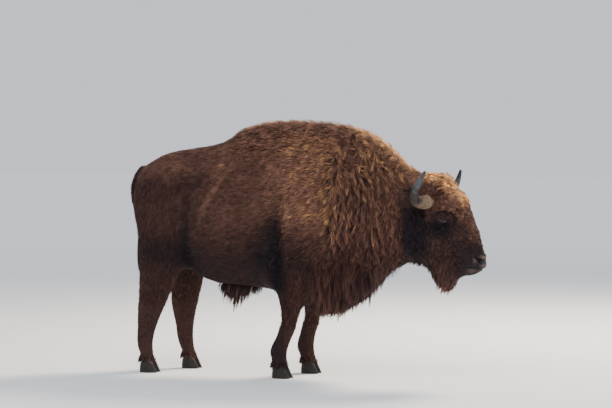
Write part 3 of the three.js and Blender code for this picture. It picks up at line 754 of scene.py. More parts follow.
        # Rust over the shoulder and the side of the hump, along the back and the nape, with a thin line along the top
        # of the back that is painted rim light, and a painted highlight along the ridge behind the hump.
        ridge_highlight = bell(x + 0.50 + 0.40 * (1.49 - z), 0.0, 0.035) * ease(1.55, 1.45, z) * ease(1.05, 1.2, z)
        gold_and_highlight = 0.06 + 0.10 * lumps + 0.08 * broad + 0.06 * small
        gold_and_highlight += 0.48 * ease(-0.24, 0.02, x) * ease(0.94, 1.20, z) * ease(0.42, 0.26, x) * ease(1.80, 1.62, z)
        gold_and_highlight += 0.18 * ease(-0.62, -0.45, x) * ease(-0.10, -0.20, x) * ease(1.0, 1.2, z)
        gold_and_highlight += 0.26 * ease(1.36, 1.48, z) * ease(-1.30, -1.15, x) * ease(-0.40, -0.60, x)
        gold_and_highlight += 0.16 * ease(1.52, 1.66, z) * ease(-0.50, -0.30, x) * ease(0.30, 0.10, x)
        gold_and_highlight += 0.21 * ease(0.30, 0.55, x) * ease(1.30, 1.50, z + 0.25 * (x - 0.5)) * off_head
        gold_and_highlight += 0.24 * self.neck * ease(0.85, 1.1, z)
        # Painted rim highlight: a thin golden line along the top of the back and the hump.
        gold_and_highlight += 0.36 * ease(0.08, 0.02, beside) * ease(1.30, 1.50, z) * ease(-0.60, -0.30, x) * off_head
        gold_and_highlight += 0.30 * ridge_highlight * sides
        for sign in SIDES.values():
            gold_and_highlight += 0.10 * near(self.points, (-0.56, 0.32 * sign, 0.96), (0.16, 0.2, 0.16))
        # Dark hindquarters and lower legs, and painted shade on the underside and in the creases.
        # Painted shade in the crease behind the shoulder.
        crease_shade = bell(x + 0.066 + 0.016 * small + 0.10 * np.maximum(0.82 - z, 0), 0.0, 0.050)
        # Painted shade in the crease before the thigh.
        thigh_crease_shade = bell(x, -0.80, 0.05) * ease(1.30, 1.05, z) * ease(0.6, 0.8, z)
        dark_and_shade = 0.08 * broad + 0.30 * ease(-0.50, -0.85, x) * ease(1.50, 1.36, z)
        # Painted shade: the trunk and the neck darken towards their underside.
        dark_and_shade += 0.58 * ease(1.10, 0.80, z) * off_head * ease(0.30, 0.1, x)
        dark_and_shade += 0.60 * self.neck * ease(0.98, 0.72, z)
        dark_and_shade = mix(dark_and_shade, 0.28, self.on_legs * ease(1.0, 0.66, z))
        # Painted shade: darker in the crease behind the shoulder and in a broad band round it.
        dark_and_shade += (0.72 + 0.3 * lumps) * crease_shade * ease(1.34, 1.10, z) * ease(0.55, 0.7, z) * sides
        dark_and_shade += 0.46 * bell(x, -0.14, 0.11) * ease(1.26, 0.98, z) * sides
        dark_and_shade += 0.30 * thigh_crease_shade * sides
        # Painted shadow of the ear and horn: a dark band down the neck just behind the head.
        dark_and_shade += 0.85 * bell(x, 0.855, 0.085) * ease(1.42, 1.32, z) * mix(0.4, 1.0, ease(0.80, 1.02, z)) * off_head
        # Painted highlight on the crests of the neck's folds and painted shade in their furrows.
        gold_and_highlight += 0.36 * np.maximum(self.folds, 0)
        dark_and_shade += 2.10 * np.maximum(-self.folds, 0)
        gold_and_highlight = mix(gold_and_highlight, np.minimum(gold_and_highlight, 0.53 + 0.40 * (gold_and_highlight - 0.53)), sides)
        # The face: golden crown, speckled forehead, and a dark patch from the eye down to the muzzle.
        foot = np.clip(0.280 - 0.72 * f, 0.125, 0.295)
        crown = on_head * ease(-0.035, 0.025, u - foot + 0.03 * small + 0.02 * fine)
        face = on_head * (1 - crown)
        # Painted shadow of the ear and horn on the cheek, strongest high up under them.
        shade_under_ear = ease(0.0, -0.08, f) * ease(0.20, 0.12, u) * mix(0.25, 1.0, ease(-0.24, -0.08, u))
        bridge = ease(0.085, 0.055, place[:, 1]) * ease(0.10, 0.16, f) * ease(-0.16, -0.06, u)
        forehead = limited(ease(0.10, 0.15, u + 0.03 * small) + 0.75 * bridge)
        eye = limited(1.6 * near(place, (0.060, 0.135, -0.005), (0.070, 0.07, 0.060)))
        temple = ease(0.075, 0.115, place[:, 1]) * ease(0.16, 0.08, f)
        speckled = 0.42 - 0.13 * temple + 0.34 * small + 0.30 * fine
        dark_and_shade += 0.70 * on_head * shade_under_ear
        dark_and_shade += face * (0.44 + 0.18 * small + 0.26 * ease(0.04, -0.02, u)) * (1 - 0.75 * forehead)
        dark_and_shade += 0.40 * eye * on_head
        dark_and_shade += face * forehead * temple * np.maximum(0.10 + 0.5 * fine, 0)
        gold_and_highlight = mix(gold_and_highlight, mix(0.22 + 0.26 * small, speckled, forehead), face)
        gold_and_highlight -= 0.3 * face * eye
        gold_and_highlight += 0.45 * on_head * near(place, FACE_KNOB, (0.032, 0.04, 0.034)) * (0.7 + fine)
        gold_and_highlight += 0.22 * on_head * near(place, (-0.03, 0.14, 0.03), (0.04, 0.05, 0.05))
        ring, brow = eye_ring(self.head)
        brow = brow * face
        # Painted highlight on the ridge of the brow and on the upper lid's swell, and painted shade in the crease
        # under the brow.
        ridge = brow * bell(ring, 1.38, 0.17)
        gold_and_highlight += 0.18 * ridge
        dark_and_shade += 0.60 * brow * bell(ring, 1.02, 0.13) - 0.30 * ridge - 0.12 * brow * bell(ring, 0.68, 0.12)
        muzzle = on_head * ease(0.14, 0.24, f) * ease(-0.12, -0.21, u)
        gold_and_highlight = layered(gold_and_highlight, (
            (0.90 + 0.16 * small + 0.24 * fine, crown), (0.05, muzzle), (0.30 + 0.4 * small, part["ear"])))
        dark_and_shade = layered(dark_and_shade, ((0.0, crown), (0.86 + 0.08 * small, muzzle), (0.30, part["beard"]),
                              (0.62, self.on_tail), (0.72, part["ear"] * 0.9)))
        # Pale rims of the nostril, and the lower lip.
        line, mouth = mouth_height(self.head)
        pale = sum(amount * near(place, middle, radii) for amount, middle, radii in PALE_PLACES)
        # Painted shade: the inside of the nostrils and the line of the mouth are drawn black.
        hollow = nostril_share(place, 1.24) + mouth * bell(line, 0.0, 0.0035)
        dark_and_shade = mix(dark_and_shade, 1.0, limited(hollow * 1.3) * on_head)
        pale = pale * (1 - limited(hollow * 1.5)) * on_head
        return limited(gold_and_highlight), limited(dark_and_shade), limited(pale)


growth = Growth(hide.points, hide.part)


# ---------------------------------------------------------------- locks

BAKE_PATCH = 0.003
BAKE_MARGIN = 0.02
ROOT_SINK = 0.003
LOCK_SIDES = 3
LOCK_CORNERS = ((-1.0, -0.35), (1.0, -0.35), (0.0, 1.0))  # across the lock and above it
LOCK_THICKNESS = 0.42
DOWN = np.array([0.0, 0.0, -1.0])


def turned(directions, normals, angles):
    """Directions turned about the normals."""
    across = np.cross(normals, directions)
    return directions * np.cos(angles)[:, None] + across * np.sin(angles)[:, None]


def scatter(weights, count, rng):
    """Roots spread evenly over the hide, in proportion to the weights of its vertices."""
    a, b, c = hide.points[hide.triangles].transpose(1, 0, 2)
    area = np.linalg.norm(np.cross(b - a, c - a), axis=1) / 2
    total = np.cumsum(area * weights[hide.triangles].mean(axis=1))
    places = (np.arange(count) + rng.random(count)) / count * total[-1]
    chosen = np.minimum(np.searchsorted(total, places), len(total) - 1)
    u, v = rng.random((2, count))
    flip = u + v > 1
    u, v = np.where(flip, 1 - u, u), np.where(flip, 1 - v, v)
    return chosen, np.stack([1 - u - v, u, v], axis=1)


def onto_hide(points):
    """The nearest places on the hide, their normals and the lie there."""
    hits = [hide.tree.find_nearest(point) for point in points.tolist()]
    corners = hide.triangles[[hit[2] for hit in hits]]
    normals, lie = (unit_rows(rows[corners].mean(axis=1)) for rows in (hide.normals, growth.lie))
    return np.array([hit[0][:] for hit in hits]), normals, lie


def clumps_of(roots, size, rng):
    """For each root, the number of the root that leads its clump."""
    leaders = np.sort(rng.permutation(len(roots))[:max(1, len(roots) // size)])
    tree = KDTree(len(leaders))
    for number, point in enumerate(roots[leaders].tolist()):
        tree.insert(point, number)
    tree.balance()
    return np.array([leaders[tree.find(point)[1]] for point in roots.tolist()])


def lock_faces(rings):
    """The triangles of one lock, as numbers of its points, and the corners of each in its bake patch."""
    faces, corners = [(0, 2, 1)], [((0.1, 0.0), (0.5, 0.1), (0.9, 0.0))]
    for ring in range(rings):
        low, high = (step / rings * 0.9 + 0.1 for step in (ring, ring + 1))
        for side in range(LOCK_SIDES):
            a, b = ring * LOCK_SIDES + side, ring * LOCK_SIDES + (side + 1) % LOCK_SIDES
            left, right = side / LOCK_SIDES, (side + 1) / LOCK_SIDES
            if ring == rings - 1:
                faces.append((a, b, rings * LOCK_SIDES))
                corners.append(((left, low), (right, low), ((left + right) / 2, 1.0)))
            else:
                faces += [(a, b, b + LOCK_SIDES), (a, b + LOCK_SIDES, a + LOCK_SIDES)]
                corners += [((left, low), (right, low), (right, high)), ((left, low), (right, high), (left, high))]
    return np.array(faces), np.array(corners)


def lock_mesh(name, centres, normals, widths, bake, marks, tint):
    """Closed three-sided locks, tapered to a point, round the centre lines."""
    count, rings = centres.shape[0], centres.shape[1] - 1
    size = rings * LOCK_SIDES + 1
    along = np.gradient(centres, axis=1)
    along /= np.maximum(np.linalg.norm(along, axis=2, keepdims=True), 1e-9)
    across = np.cross(along, normals)
    across /= np.maximum(np.linalg.norm(across, axis=2, keepdims=True), 1e-9)
    above = np.cross(across, along)
    reach = np.arange(rings) / rings
    swell = (1 - reach) ** 0.72 * mix(0.85, 1.15, np.minimum(reach * 2.5, 1))
    radius = widths[:, None] / 2 * swell[None, :]
    points = np.empty((count, size, 3))
    for side, (right, up) in enumerate(LOCK_CORNERS):
        offset = across[:, :rings] * right + above[:, :rings] * up * LOCK_THICKNESS
        points[:, side:-1:LOCK_SIDES] = centres[:, :rings] + offset * radius[:, :, None]
    points[:, -1] = centres[:, -1]
    faces, corners = lock_faces(rings)
    mesh = mesh_from(name, points.reshape(-1, 3), (np.arange(count)[:, None, None] * size + faces).reshape(-1, 3))
    put_uv(mesh, "OFBake", bake[:, None, None, :] + (corners - 0.5) * BAKE_PATCH)
    put_attribute(mesh, "markings_and_painted_light", np.repeat(marks, size, axis=0))
    put_attribute(mesh, "reach", np.tile(np.append(np.repeat(reach, LOCK_SIDES), 1.0), count))
    put_attribute(mesh, "across", np.tile(np.append(np.tile((0.0, 1.0, 0.5), rings), 0.5), count))
    put_attribute(mesh, "tint", np.repeat(tint, size))
    return mesh


def unwrap(roots, islands):
    """Places on an unwrap of the hide: along an axis and round it, for each island, side by side.

    An island is the roots on it, the start and end of its axis, and the direction that its seam faces away from.
    """
    result = np.zeros((len(roots), 2))
    room = 1 - 2 * BAKE_MARGIN
    for number, (chosen, start, end, zero) in enumerate(islands):
        axis = unit(np.array(end) - np.array(start))
        zero = unit(np.array(zero) - axis * (np.array(zero) @ axis))
        offset = roots[chosen] - np.array(start)
        along, angle = offset @ axis, np.arctan2(offset @ np.cross(axis, zero), offset @ zero)
        along, angle = ((values - values.min()) / max(np.ptp(values), 1e-6) for values in (along, angle))
        result[chosen, 0] = BAKE_MARGIN + room * along
        result[chosen, 1] = BAKE_MARGIN + room * (number + 0.97 * angle) / len(islands)
    return result


def grow(name, weights, count, rings, clump_size, islands_of, seed, hang=0.0, stray=0.22, rise=0.0):
    """Locks over the hide where the weights are above 0.

    hang is how far they fall freely instead of lying on the hide, and rise how far they start out from it.
    """
    rng = np.random.default_rng(seed)
    count = int(count * (1))
    chosen, shares = scatter(weights, count, rng)

    def at_roots(values):
        corners = values[hide.triangles[chosen]]
        return (corners * (shares if values.ndim == 1 else shares[:, :, None])).sum(axis=1)

    def of_clump(values):
        return values[leader]

    root = at_roots(hide.points)
    normal, lie = unit_rows(at_roots(hide.normals)), unit_rows(at_roots(growth.lie))
    length, width, height, clump, wave, bend = (at_roots(growth.coat[kind]) for kind in COAT_KINDS)
    leader = clumps_of(root, clump_size, rng)
    own, shared = rng.normal(0, 1, count), of_clump(rng.normal(0, 1, count))
    angle = stray * (0.55 * shared + 0.45 * own)
    length = length * np.clip(1 + 0.16 * own + 0.14 * of_clump(rng.normal(0, 1, count)), 0.55, 1.5)
    uneven = 1 + 0.30 * of_clump(rng.normal(0, 1, count)) + 0.15 * rng.normal(0, 1, count)
    height = height * np.clip(uneven, 0.35, 1.7)
    bend = bend * np.where(of_clump(rng.random(count)) < 0.5, -1, 1) * (0.6 + 0.8 * rng.random(count))
    phase = 2 * np.pi * of_clump(rng.random(count))
    step = (length / rings)[:, None]
    here, up, way, free = root, normal, lie, root
    heading = unit_rows(lie * (1 - rise) + normal * rise)
    centres, normals = [root - normal * ROOT_SINK], [normal]
    for ring in range(1, rings + 1):
        share = ring / rings
        swing = angle + bend * (share - 0.5 / rings)
        here, up, way = onto_hide(here + turned(way, up, swing) * step)
        sway = (wave * np.sin(phase + share * 9.0))[:, None]
        lifted = height * np.minimum(1.6 * share, 1.0) * (1.06 - 0.25 * share * share)
        lying = here + up * lifted[:, None] + np.cross(up, way) * sway
        heading = unit_rows(heading + DOWN * (0.9 * share))
        free = free + turned(heading, normal, 0.4 * swing) * step
        centres.append(mix(lying, free + np.cross(DOWN, heading) * sway, hang))
        normals.append(up)
    for ring in range(1, rings + 1):
        share = (clump * 0.85 * (ring / rings) ** 1.2)[:, None]
        centres[ring] = mix(centres[ring], of_clump(centres[ring]), share)
    marks = at_roots(growth.marks)
    marks[:, 0] = limited(marks[:, 0] + (0.05 + 0.13 * clump) * of_clump(rng.normal(0, 1, count)))
    marks[:, 1] = limited(marks[:, 1] + 0.05 * of_clump(rng.normal(0, 1, count)))
    tint = limited(0.5 + 0.30 * of_clump(rng.normal(0, 1, count)) + 0.16 * rng.normal(0, 1, count))
    widths = width * (0.75 + 0.5 * rng.random(count))
    centres, normals = np.stack(centres, axis=1), np.stack(normals, axis=1)
    mesh = lock_mesh(name, centres, normals, widths, unwrap(root, islands_of(root)), marks, tint)
    return show(mesh, coat_material)


# ---------------------------------------------------------------- materials

CHOCOLATE = (0.076, 0.033, 0.026)
RUST = (0.238, 0.115, 0.077)
STRAW = (0.880, 0.465, 0.175)
NEAR_BLACK = (0.017, 0.012, 0.016)
PALE_HAIR = (0.400, 0.290, 0.230)
BARE_SKIN = (0.016, 0.014, 0.017), (0.032, 0.028, 0.034)
# Painted shade for the inside of the nostrils and the mouth's line.
HOLE_SHADE = (0.002, 0.002, 0.002)

# The horn's stages, from rough tan scales at the foot through brown and grey: where each starts and is
# full along the horn, the range of the flakes that parts its two tones, and the tones.
HORN_STAGES = (
    (None, (0.34, 0.66), (0.060, 0.038, 0.026), (0.37, 0.25, 0.165)),
    ((0.26, 0.40), (0.36, 0.64), (0.050, 0.033, 0.022), (0.170, 0.112, 0.076)),
    ((0.42, 0.52), (0.40, 0.62), (0.010, 0.008, 0.007), (0.048, 0.035, 0.028)),
    ((0.66, 0.76), (0.35, 0.65), (0.033, 0.036, 0.042), (0.088, 0.096, 0.108)),
)
HORN_TIP = (0.024, 0.026, 0.032)
HORN_TIP_SPAN = (0.86, 0.97)
HORN_SMOOTHS = (0.44, 0.76)
HOOF_TONES = (0.008, 0.007, 0.006), (0.034, 0.027, 0.022)
HOOF_RING = (0.020, 0.016, 0.013)
IRIS_TONES = (0.010, 0.004, 0.003), (0.026, 0.011, 0.006)
IRIS_EDGE = (0.012, 0.006, 0.004)
PUPIL = (0.003, 0.003, 0.004)
PUPIL_HALF = (0.17, 0.085)  # of the eyeball's width
EYE_WHITE = (0.060, 0.036, 0.032), (0.036, 0.020, 0.018)


class Shader:
    """A short way to lay out and join nodes in a material or a node group."""

    def __init__(self, tree):
        self.tree = tree
        self.surface = tree.nodes.get("Principled BSDF")

    def set(self, socket, value):
        if isinstance(value, bpy.types.NodeSocket):
            self.tree.links.new(value, socket)
        elif socket.type == "RGBA":
            socket.default_value = (*value[:3], 1.0)
        else:
            socket.default_value = value

    def node(self, kind, inputs=None, **settings):
        made = self.tree.nodes.new(kind)
        for key, value in settings.items():
            setattr(made, key, value)
        for key, value in (inputs or {}).items():
            self.set(made.inputs[key], value)
        return made

    def math(self, operation, a, b=0.0, clamp=False):
        return self.node("ShaderNodeMath", {0: a, 1: b}, operation=operation, use_clamp=clamp).outputs[0]

    def times(self, a, b):
        return self.math("MULTIPLY", a, b)

    def plus(self, a, b, clamp=False):
        return self.math("ADD", a, b, clamp)

    def mix(self, share, a, b, blend="MIX"):
        inputs = {0: share, 6: a, 7: b}
        return self.node("ShaderNodeMix", inputs, data_type="RGBA", blend_type=blend).outputs[2]

    def ramp(self, value, start, end, low=0.0, high=1.0):
        return self.node("ShaderNodeMapRange", {0: value, 1: start, 2: end, 3: low, 4: high}).outputs[0]

    def noise(self, vector, scale, detail=3.0, roughness=0.5):
        settings = {"Vector": vector, "Scale": scale, "Detail": detail, "Roughness": roughness}
        return self.node("ShaderNodeTexNoise", settings).outputs["Fac"]

    def attribute(self, name, output="Fac"):
        return self.node("ShaderNodeAttribute", attribute_name=name).outputs[output]

    def place(self):
        return self.node("ShaderNodeTexCoord").outputs["Object"]

    def channels(self, colour):
        return self.node("ShaderNodeSeparateColor", {0: colour}).outputs

    def finish(self, colour, roughness, specular, bump):
        """Sets the surface. bump is its strength, its distance and its height."""
        bump = self.node("ShaderNodeBump", dict(zip(("Strength", "Distance", "Height"), bump))).outputs[0]
        self.set_surface({"Base Color": colour, "Roughness": roughness, "Specular IOR Level": specular,
                          "Normal": bump})

    def set_surface(self, inputs):
        for key, value in inputs.items():
            self.set(self.surface.inputs[key], value)


def new_material(name):
    material = bpy.data.materials.new(name)
    material.use_nodes = True
    return material, Shader(material.node_tree)


def new_group(name, inputs, outputs):
    """A node group with named sockets; inputs and outputs are (name, kind, value)."""
    tree = bpy.data.node_groups.new(name, "ShaderNodeTree")
    for socket_name, kind, value in inputs:
        socket = tree.interface.new_socket(socket_name, in_out="INPUT", socket_type=f"NodeSocket{kind}")
        socket.default_value = value
    for socket_name, kind in outputs:
        tree.interface.new_socket(socket_name, in_out="OUTPUT", socket_type=f"NodeSocket{kind}")
    shader = Shader(tree)
    return shader, shader.node("NodeGroupInput").outputs, shader.node("NodeGroupOutput").inputs


def make_hair_colour():
    """The animal's markings, shared by hide and coat: chocolate, gone golden, dark or pale, with painted highlights
    and shade among them; each lock is darker at its root, partly as painted shade.
    """
    shader, given, result = new_group(
        "hair colour",
        [("Markings", "Color", (0.5, 0.5, 0.5, 1.0))] + [(name, "Float", 0.5) for name in ("Reach", "Tint", "Grain")],
        [("Color", "Color")])
    gold_and_highlight, dark_and_shade, pale = shader.channels(given["Markings"])[:3]
    colour = shader.mix(shader.ramp(gold_and_highlight, 0.0, 0.55), CHOCOLATE, RUST)
    colour = shader.mix(shader.ramp(gold_and_highlight, 0.55, 1.0), colour, STRAW)
    colour = shader.mix(dark_and_shade, colour, NEAR_BLACK)
    colour = shader.mix(pale, colour, PALE_HAIR)
    # Painted shade and tone: each lock is darker towards its root, where the locks shade each other, and lighter at
    # its tip.
    root_shade_and_tone = shader.ramp(given["Reach"], 0.0, 1.0, 0.26, 1.62)
    root_shade_and_tone = shader.times(root_shade_and_tone, shader.ramp(given["Tint"], 0.0, 1.0, 0.62, 1.40))
    root_shade_and_tone = shader.times(root_shade_and_tone, shader.ramp(given["Grain"], 0.3, 0.7, 0.66, 1.34))
    even = shader.node("ShaderNodeCombineColor", {0: root_shade_and_tone, 1: root_shade_and_tone, 2: root_shade_and_tone}).outputs[0]
    shader.set(result["Color"], shader.mix(1.0, colour, even, blend="MULTIPLY"))
    return shader.tree


def hair(shader, marks, reach, tint, grain):
    inputs = {"Markings": marks, "Reach": reach, "Tint": tint, "Grain": grain}
    group = shader.node("ShaderNodeGroup", node_tree=hair_colour)
    for key, value in inputs.items():
        shader.set(group.inputs[key], value)
    return group.outputs[0]


def make_coat_material():
    material, shader = new_material("coat hair")
    reach, tint = shader.attribute("reach"), shader.attribute("tint")
    grid = shader.node("ShaderNodeCombineXYZ", {
        0: shader.times(shader.attribute("across"), 14.0),
        1: shader.times(reach, 1.5),
        2: shader.times(tint, 50.0)}).outputs[0]
    strands = shader.noise(grid, 1.0, 2.0)
    patches = shader.noise(shader.place(), 60.0, 3.0)
    grain = shader.plus(shader.times(strands, 0.65), shader.times(patches, 0.35))
    colour = hair(shader, shader.attribute("markings_and_painted_light", "Color"), reach, tint, grain)
    shader.finish(colour, shader.ramp(strands, 0.3, 0.7, 0.52, 0.80), 0.16, (0.6, 0.0006, strands))
    return material


def make_hide_material():
    material, shader = new_material("hide")
    place = shader.place()
    marks, bare = (shader.attribute("markings_and_painted_light", output) for output in ("Color", "Alpha"))
    _, dark_and_shade, pale = shader.channels(marks)[:3]
    hairs = shader.noise(place, 260.0, 5.0, 0.65)
    folds = shader.noise(place, 55.0, 4.0, 0.6)
    skin = shader.mix(shader.ramp(folds, 0.35, 0.65), *BARE_SKIN)
    skin = shader.mix(pale, skin, PALE_HAIR)
    # The hide is drawn as a lock's root end: painted shade under the coat.
    base = shader.mix(bare, hair(shader, marks, 0.25, 0.45, hairs), skin)
    # Painted shade: near-black where the dark channel is full, inside the nostrils and along the mouth.
    base = shader.mix(shader.ramp(dark_and_shade, 0.96, 1.0), base, HOLE_SHADE)
    rough = shader.math("SUBTRACT", 0.82, shader.times(bare, 0.36))
    rough = shader.plus(rough, shader.ramp(folds, 0.3, 0.7, -0.06, 0.06))
    rough = shader.plus(rough, shader.ramp(dark_and_shade, 0.96, 1.0, 0.0, 0.4), clamp=True)
    pebbles = shader.node("ShaderNodeTexVoronoi", {"Vector": place, "Scale": 330.0}).outputs["Distance"]
    shader.finish(base, rough, 0.24, (0.7, 0.0014, shader.plus(shader.times(pebbles, bare), hairs)))
    return material


def make_horn_material():
    material, shader = new_material("horn sheath")
    place = shader.place()
    flakes = shader.noise(place, 130.0, 5.0, 0.7)
    broad = shader.noise(place, 28.0, 3.0)
    uneven = shader.plus(shader.attribute("reach"), shader.ramp(broad, 0.3, 0.7, -0.07, 0.07))
    for span, parting, low, high in HORN_STAGES:
        tone = shader.mix(shader.ramp(flakes, *parting), low, high)
        colour = shader.mix(shader.ramp(uneven, *span), colour, tone) if span else tone
    colour = shader.mix(shader.ramp(uneven, *HORN_TIP_SPAN), colour, HORN_TIP)
    fibres = shader.times(flakes, shader.ramp(uneven, *HORN_SMOOTHS, 1.0, 0.30))
    shader.finish(colour, shader.ramp(uneven, *HORN_SMOOTHS, 0.74, 0.40), 0.28, (0.8, 0.0025, fibres))
    return material


def make_hoof_material():
    material, shader = new_material("hoof horn")
    place = shader.place()
    stretched = shader.node("ShaderNodeMapping", {"Vector": place, "Scale": (60.0, 60.0, 9.0)}).outputs[0]
    fibres = shader.noise(stretched, 3.0, 4.0)
    wave = shader.node("ShaderNodeTexWave", {"Vector": place, "Scale": 22.0, "Distortion": 5.0},
                       bands_direction="Z")
    rings = wave.outputs["Fac"]
    colour = shader.mix(shader.ramp(fibres, 0.35, 0.7), *HOOF_TONES)
    colour = shader.mix(shader.ramp(rings, 0.0, 1.0, 0.0, 0.35), colour, HOOF_RING)
    height = shader.plus(fibres, shader.times(rings, 0.25))
    shader.finish(colour, shader.ramp(fibres, 0.3, 0.7, 0.45, 0.68), 0.28, (0.5, 0.0010, height))
    return material


def make_eye_material():
    """A dark brown iris with a level slot of a pupil, from the eye's own flat measure in its UV map."""
    material, shader = new_material("eye")
    flat = shader.node("ShaderNodeUVMap", uv_map="Gaze").outputs[0]
    parts = shader.node("ShaderNodeSeparateXYZ", {0: flat}).outputs
    x, y = (shader.math("SUBTRACT", part, 0.5) for part in parts[:2])
    radius = shader.math("SQRT", shader.plus(shader.times(x, x), shader.times(y, y)))
    wide = shader.plus(*(
        shader.math("POWER", shader.math("ABSOLUTE", shader.math("DIVIDE", part, half)), 2.5)
        for part, half in zip((x, y), PUPIL_HALF)))
    rays = shader.noise(flat, 40.0, 3.0)
    iris = shader.mix(shader.ramp(rays, 0.35, 0.65), *IRIS_TONES)
    iris = shader.mix(shader.ramp(radius, 0.24, 0.30), iris, IRIS_EDGE)
    colour = shader.mix(shader.ramp(wide, 0.8, 1.2), PUPIL, iris)
    white = shader.mix(shader.ramp(rays, 0.4, 0.6), *EYE_WHITE)
    colour = shader.mix(shader.ramp(radius, 0.36, 0.40), colour, white)
    shader.finish(colour, shader.ramp(rays, 0.3, 0.7, 0.16, 0.26), 0.12, (0.15, 0.0003, rays))
    shader.set_surface({"Coat Weight": 0.16, "Coat Roughness": 0.05})
    return material


hair_colour = make_hair_colour()
coat_material = make_coat_material()
hide_material = make_hide_material()
horn_material = make_horn_material()
hoof_material = make_hoof_material()
eye_material = make_eye_material()


# ---------------------------------------------------------------- horns, eyes, lids and hooves

HORN_STEPS, HORN_SIDES = 90, 32
HORN_RIDGE, HORN_RIDGE_TURNS = 0.0020, 95  # height, and radians from foot to tip
HORN_FINE_RIDGE, HORN_FINE_RIDGE_TURNS = 0.0006, 170
HORN_ROUGHNESS = 0.0032
HORN_TIP_LENGTH = 0.004
EYE_RINGS, EYE_SIDES = 40, 48
EYE_BULGE = 0.06
LID_SIDES = 64
LID_THICKNESS = 0.0035
CLAW_SIDES = 40
DEWCLAW_STEPS, DEWCLAW_SIDES = 12, 20
DEWCLAW_RADIUS = 0.0145


def circle(count):
    """Cosines and sines round a circle, as columns."""
    angles = (2 * np.pi * np.arange(count) / count)[:, None]
    return np.cos(angles), np.sin(angles)


def add_quads(bm, rings):
    """Quads from each ring of vertices to the next."""
    made = []
    for first, second in zip(rings, rings[1:]):
        for j in range(len(first)):
            following = (j + 1) % len(first)
            made.append(bm.faces.new((first[j], first[following], second[following], second[j])))
    return made


def capped(name, rows, start, end):
    """A closed loft of rings of points, with a fan to one point at each end."""
    mesh = bpy.data.meshes.new(name)
    with editing(mesh) as bm:
        rings = [[bm.verts.new(point) for point in row] for row in rows]
        add_quads(bm, rings)
        for ring, tip in ((rings[0][::-1], bm.verts.new(start)), (rings[-1], bm.verts.new(end))):
            for j in range(len(ring)):
                bm.faces.new((ring[j], ring[(j + 1) % len(ring)], tip))
        bmesh.ops.recalc_face_normals(bm, faces=bm.faces)
    smooth(mesh)
    return mesh


def spline(rows, shares):
    """Smooth values at shares of the way through rows of numbers (Catmull-Rom)."""
    rows = np.asarray(rows, dtype=float)
    place = np.clip(np.asarray(shares) * (len(rows) - 1), 0, len(rows) - 1 - 1e-9)
    i = place.astype(int)
    t = (place - i)[:, None]
    a, b = rows[np.maximum(i - 1, 0)], rows[i]
    c, d = rows[i + 1], rows[np.minimum(i + 2, len(rows) - 1)]
    return 0.5 * (2 * b + (c - a) * t + (2 * a - 5 * b + 4 * c - d) * t ** 2 + (3 * b - a - 3 * c + d) * t ** 3)


def make_horn(side, sign):
    """Ridged and rough at the foot, smooth from the middle on."""
    shares = np.linspace(0, 1, HORN_STEPS)
    line = spline(HORN_LINE, shares)
    centres = np.array([from_head(row[:3], sign) for row in line])
    along = unit_rows(np.gradient(centres, axis=0))
    across = unit_rows(np.cross(along, head_forward))
    c, s = circle(HORN_SIDES)
    rows = []
    for share, centre, right, up, thickness in zip(shares, centres, across, np.cross(along, across), line[:, 3]):
        base = 1 - ease(0.44, 0.66, share)
        ridge = HORN_RIDGE * base * math.sin(share * HORN_RIDGE_TURNS)
        ridge += HORN_FINE_RIDGE * math.sin(share * HORN_FINE_RIDGE_TURNS) * (1 - share)
        out = right * c + up * s
        shift = Vector((0, 0, share * 14))
        rough = np.array([noise.noise(Vector((centre + spot) * 2.1) + shift) for spot in out])
        rough *= HORN_ROUGHNESS * base
        rows.append(centre + out * (thickness * 0.985 + ridge + rough)[:, None])
    mesh = capped(f"horn_sheath_{side}", rows, centres[0], centres[-1] + along[-1] * HORN_TIP_LENGTH)
    put_attribute(mesh, "reach", np.append(np.repeat(shares, HORN_SIDES), [0.0, 1.0]))
    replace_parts(show(mesh, horn_material), f"horn_{side}")


def make_eyeball(side, sign):
    along, upward, outward = eye_axes(sign)
    centre = middle_of(f"eye_{side}")
    c, s = circle(EYE_SIDES)
    flat = along * c + upward * s
    rows = []
    for ring in range(1, EYE_RINGS):
        angle = math.pi * ring / EYE_RINGS
        bulge = 1 + EYE_BULGE * ease(0.75, 0.98, math.cos(angle))
        rows.append(centre + (outward * math.cos(angle) * bulge + flat * math.sin(angle)) * EYE_RADIUS)
    front = centre + outward * EYE_RADIUS * (1 + EYE_BULGE)
    mesh = capped(f"eyeball_{side}", rows, front, centre - outward * EYE_RADIUS)
    offsets = (points_of(mesh) - centre) / (2 * EYE_RADIUS)
    gaze = np.stack([offsets @ along + 0.5, offsets @ upward + 0.5], axis=1)
    put_uv(mesh, "Gaze", gaze[numbers_of(mesh.loops, "vertex_index", 1)])
    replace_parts(show(mesh, eye_material), f"eye_{side}")


LID_OPENING = (0.0195, 0.0125, 0.0105)  # half length, upper height, lower height
# Rings of the lids as (size against the opening, height over the hide or the eyeball).
LID_RINGS = ((0.90, -0.0020), (0.97, 0.0006), (1.02, 0.0022), (1.12, 0.0034), (1.28, 0.0034),
             (1.50, 0.0022), (1.80, 0.0008), (2.15, -0.0012), (2.55, -0.0032), (2.95, -0.0060))


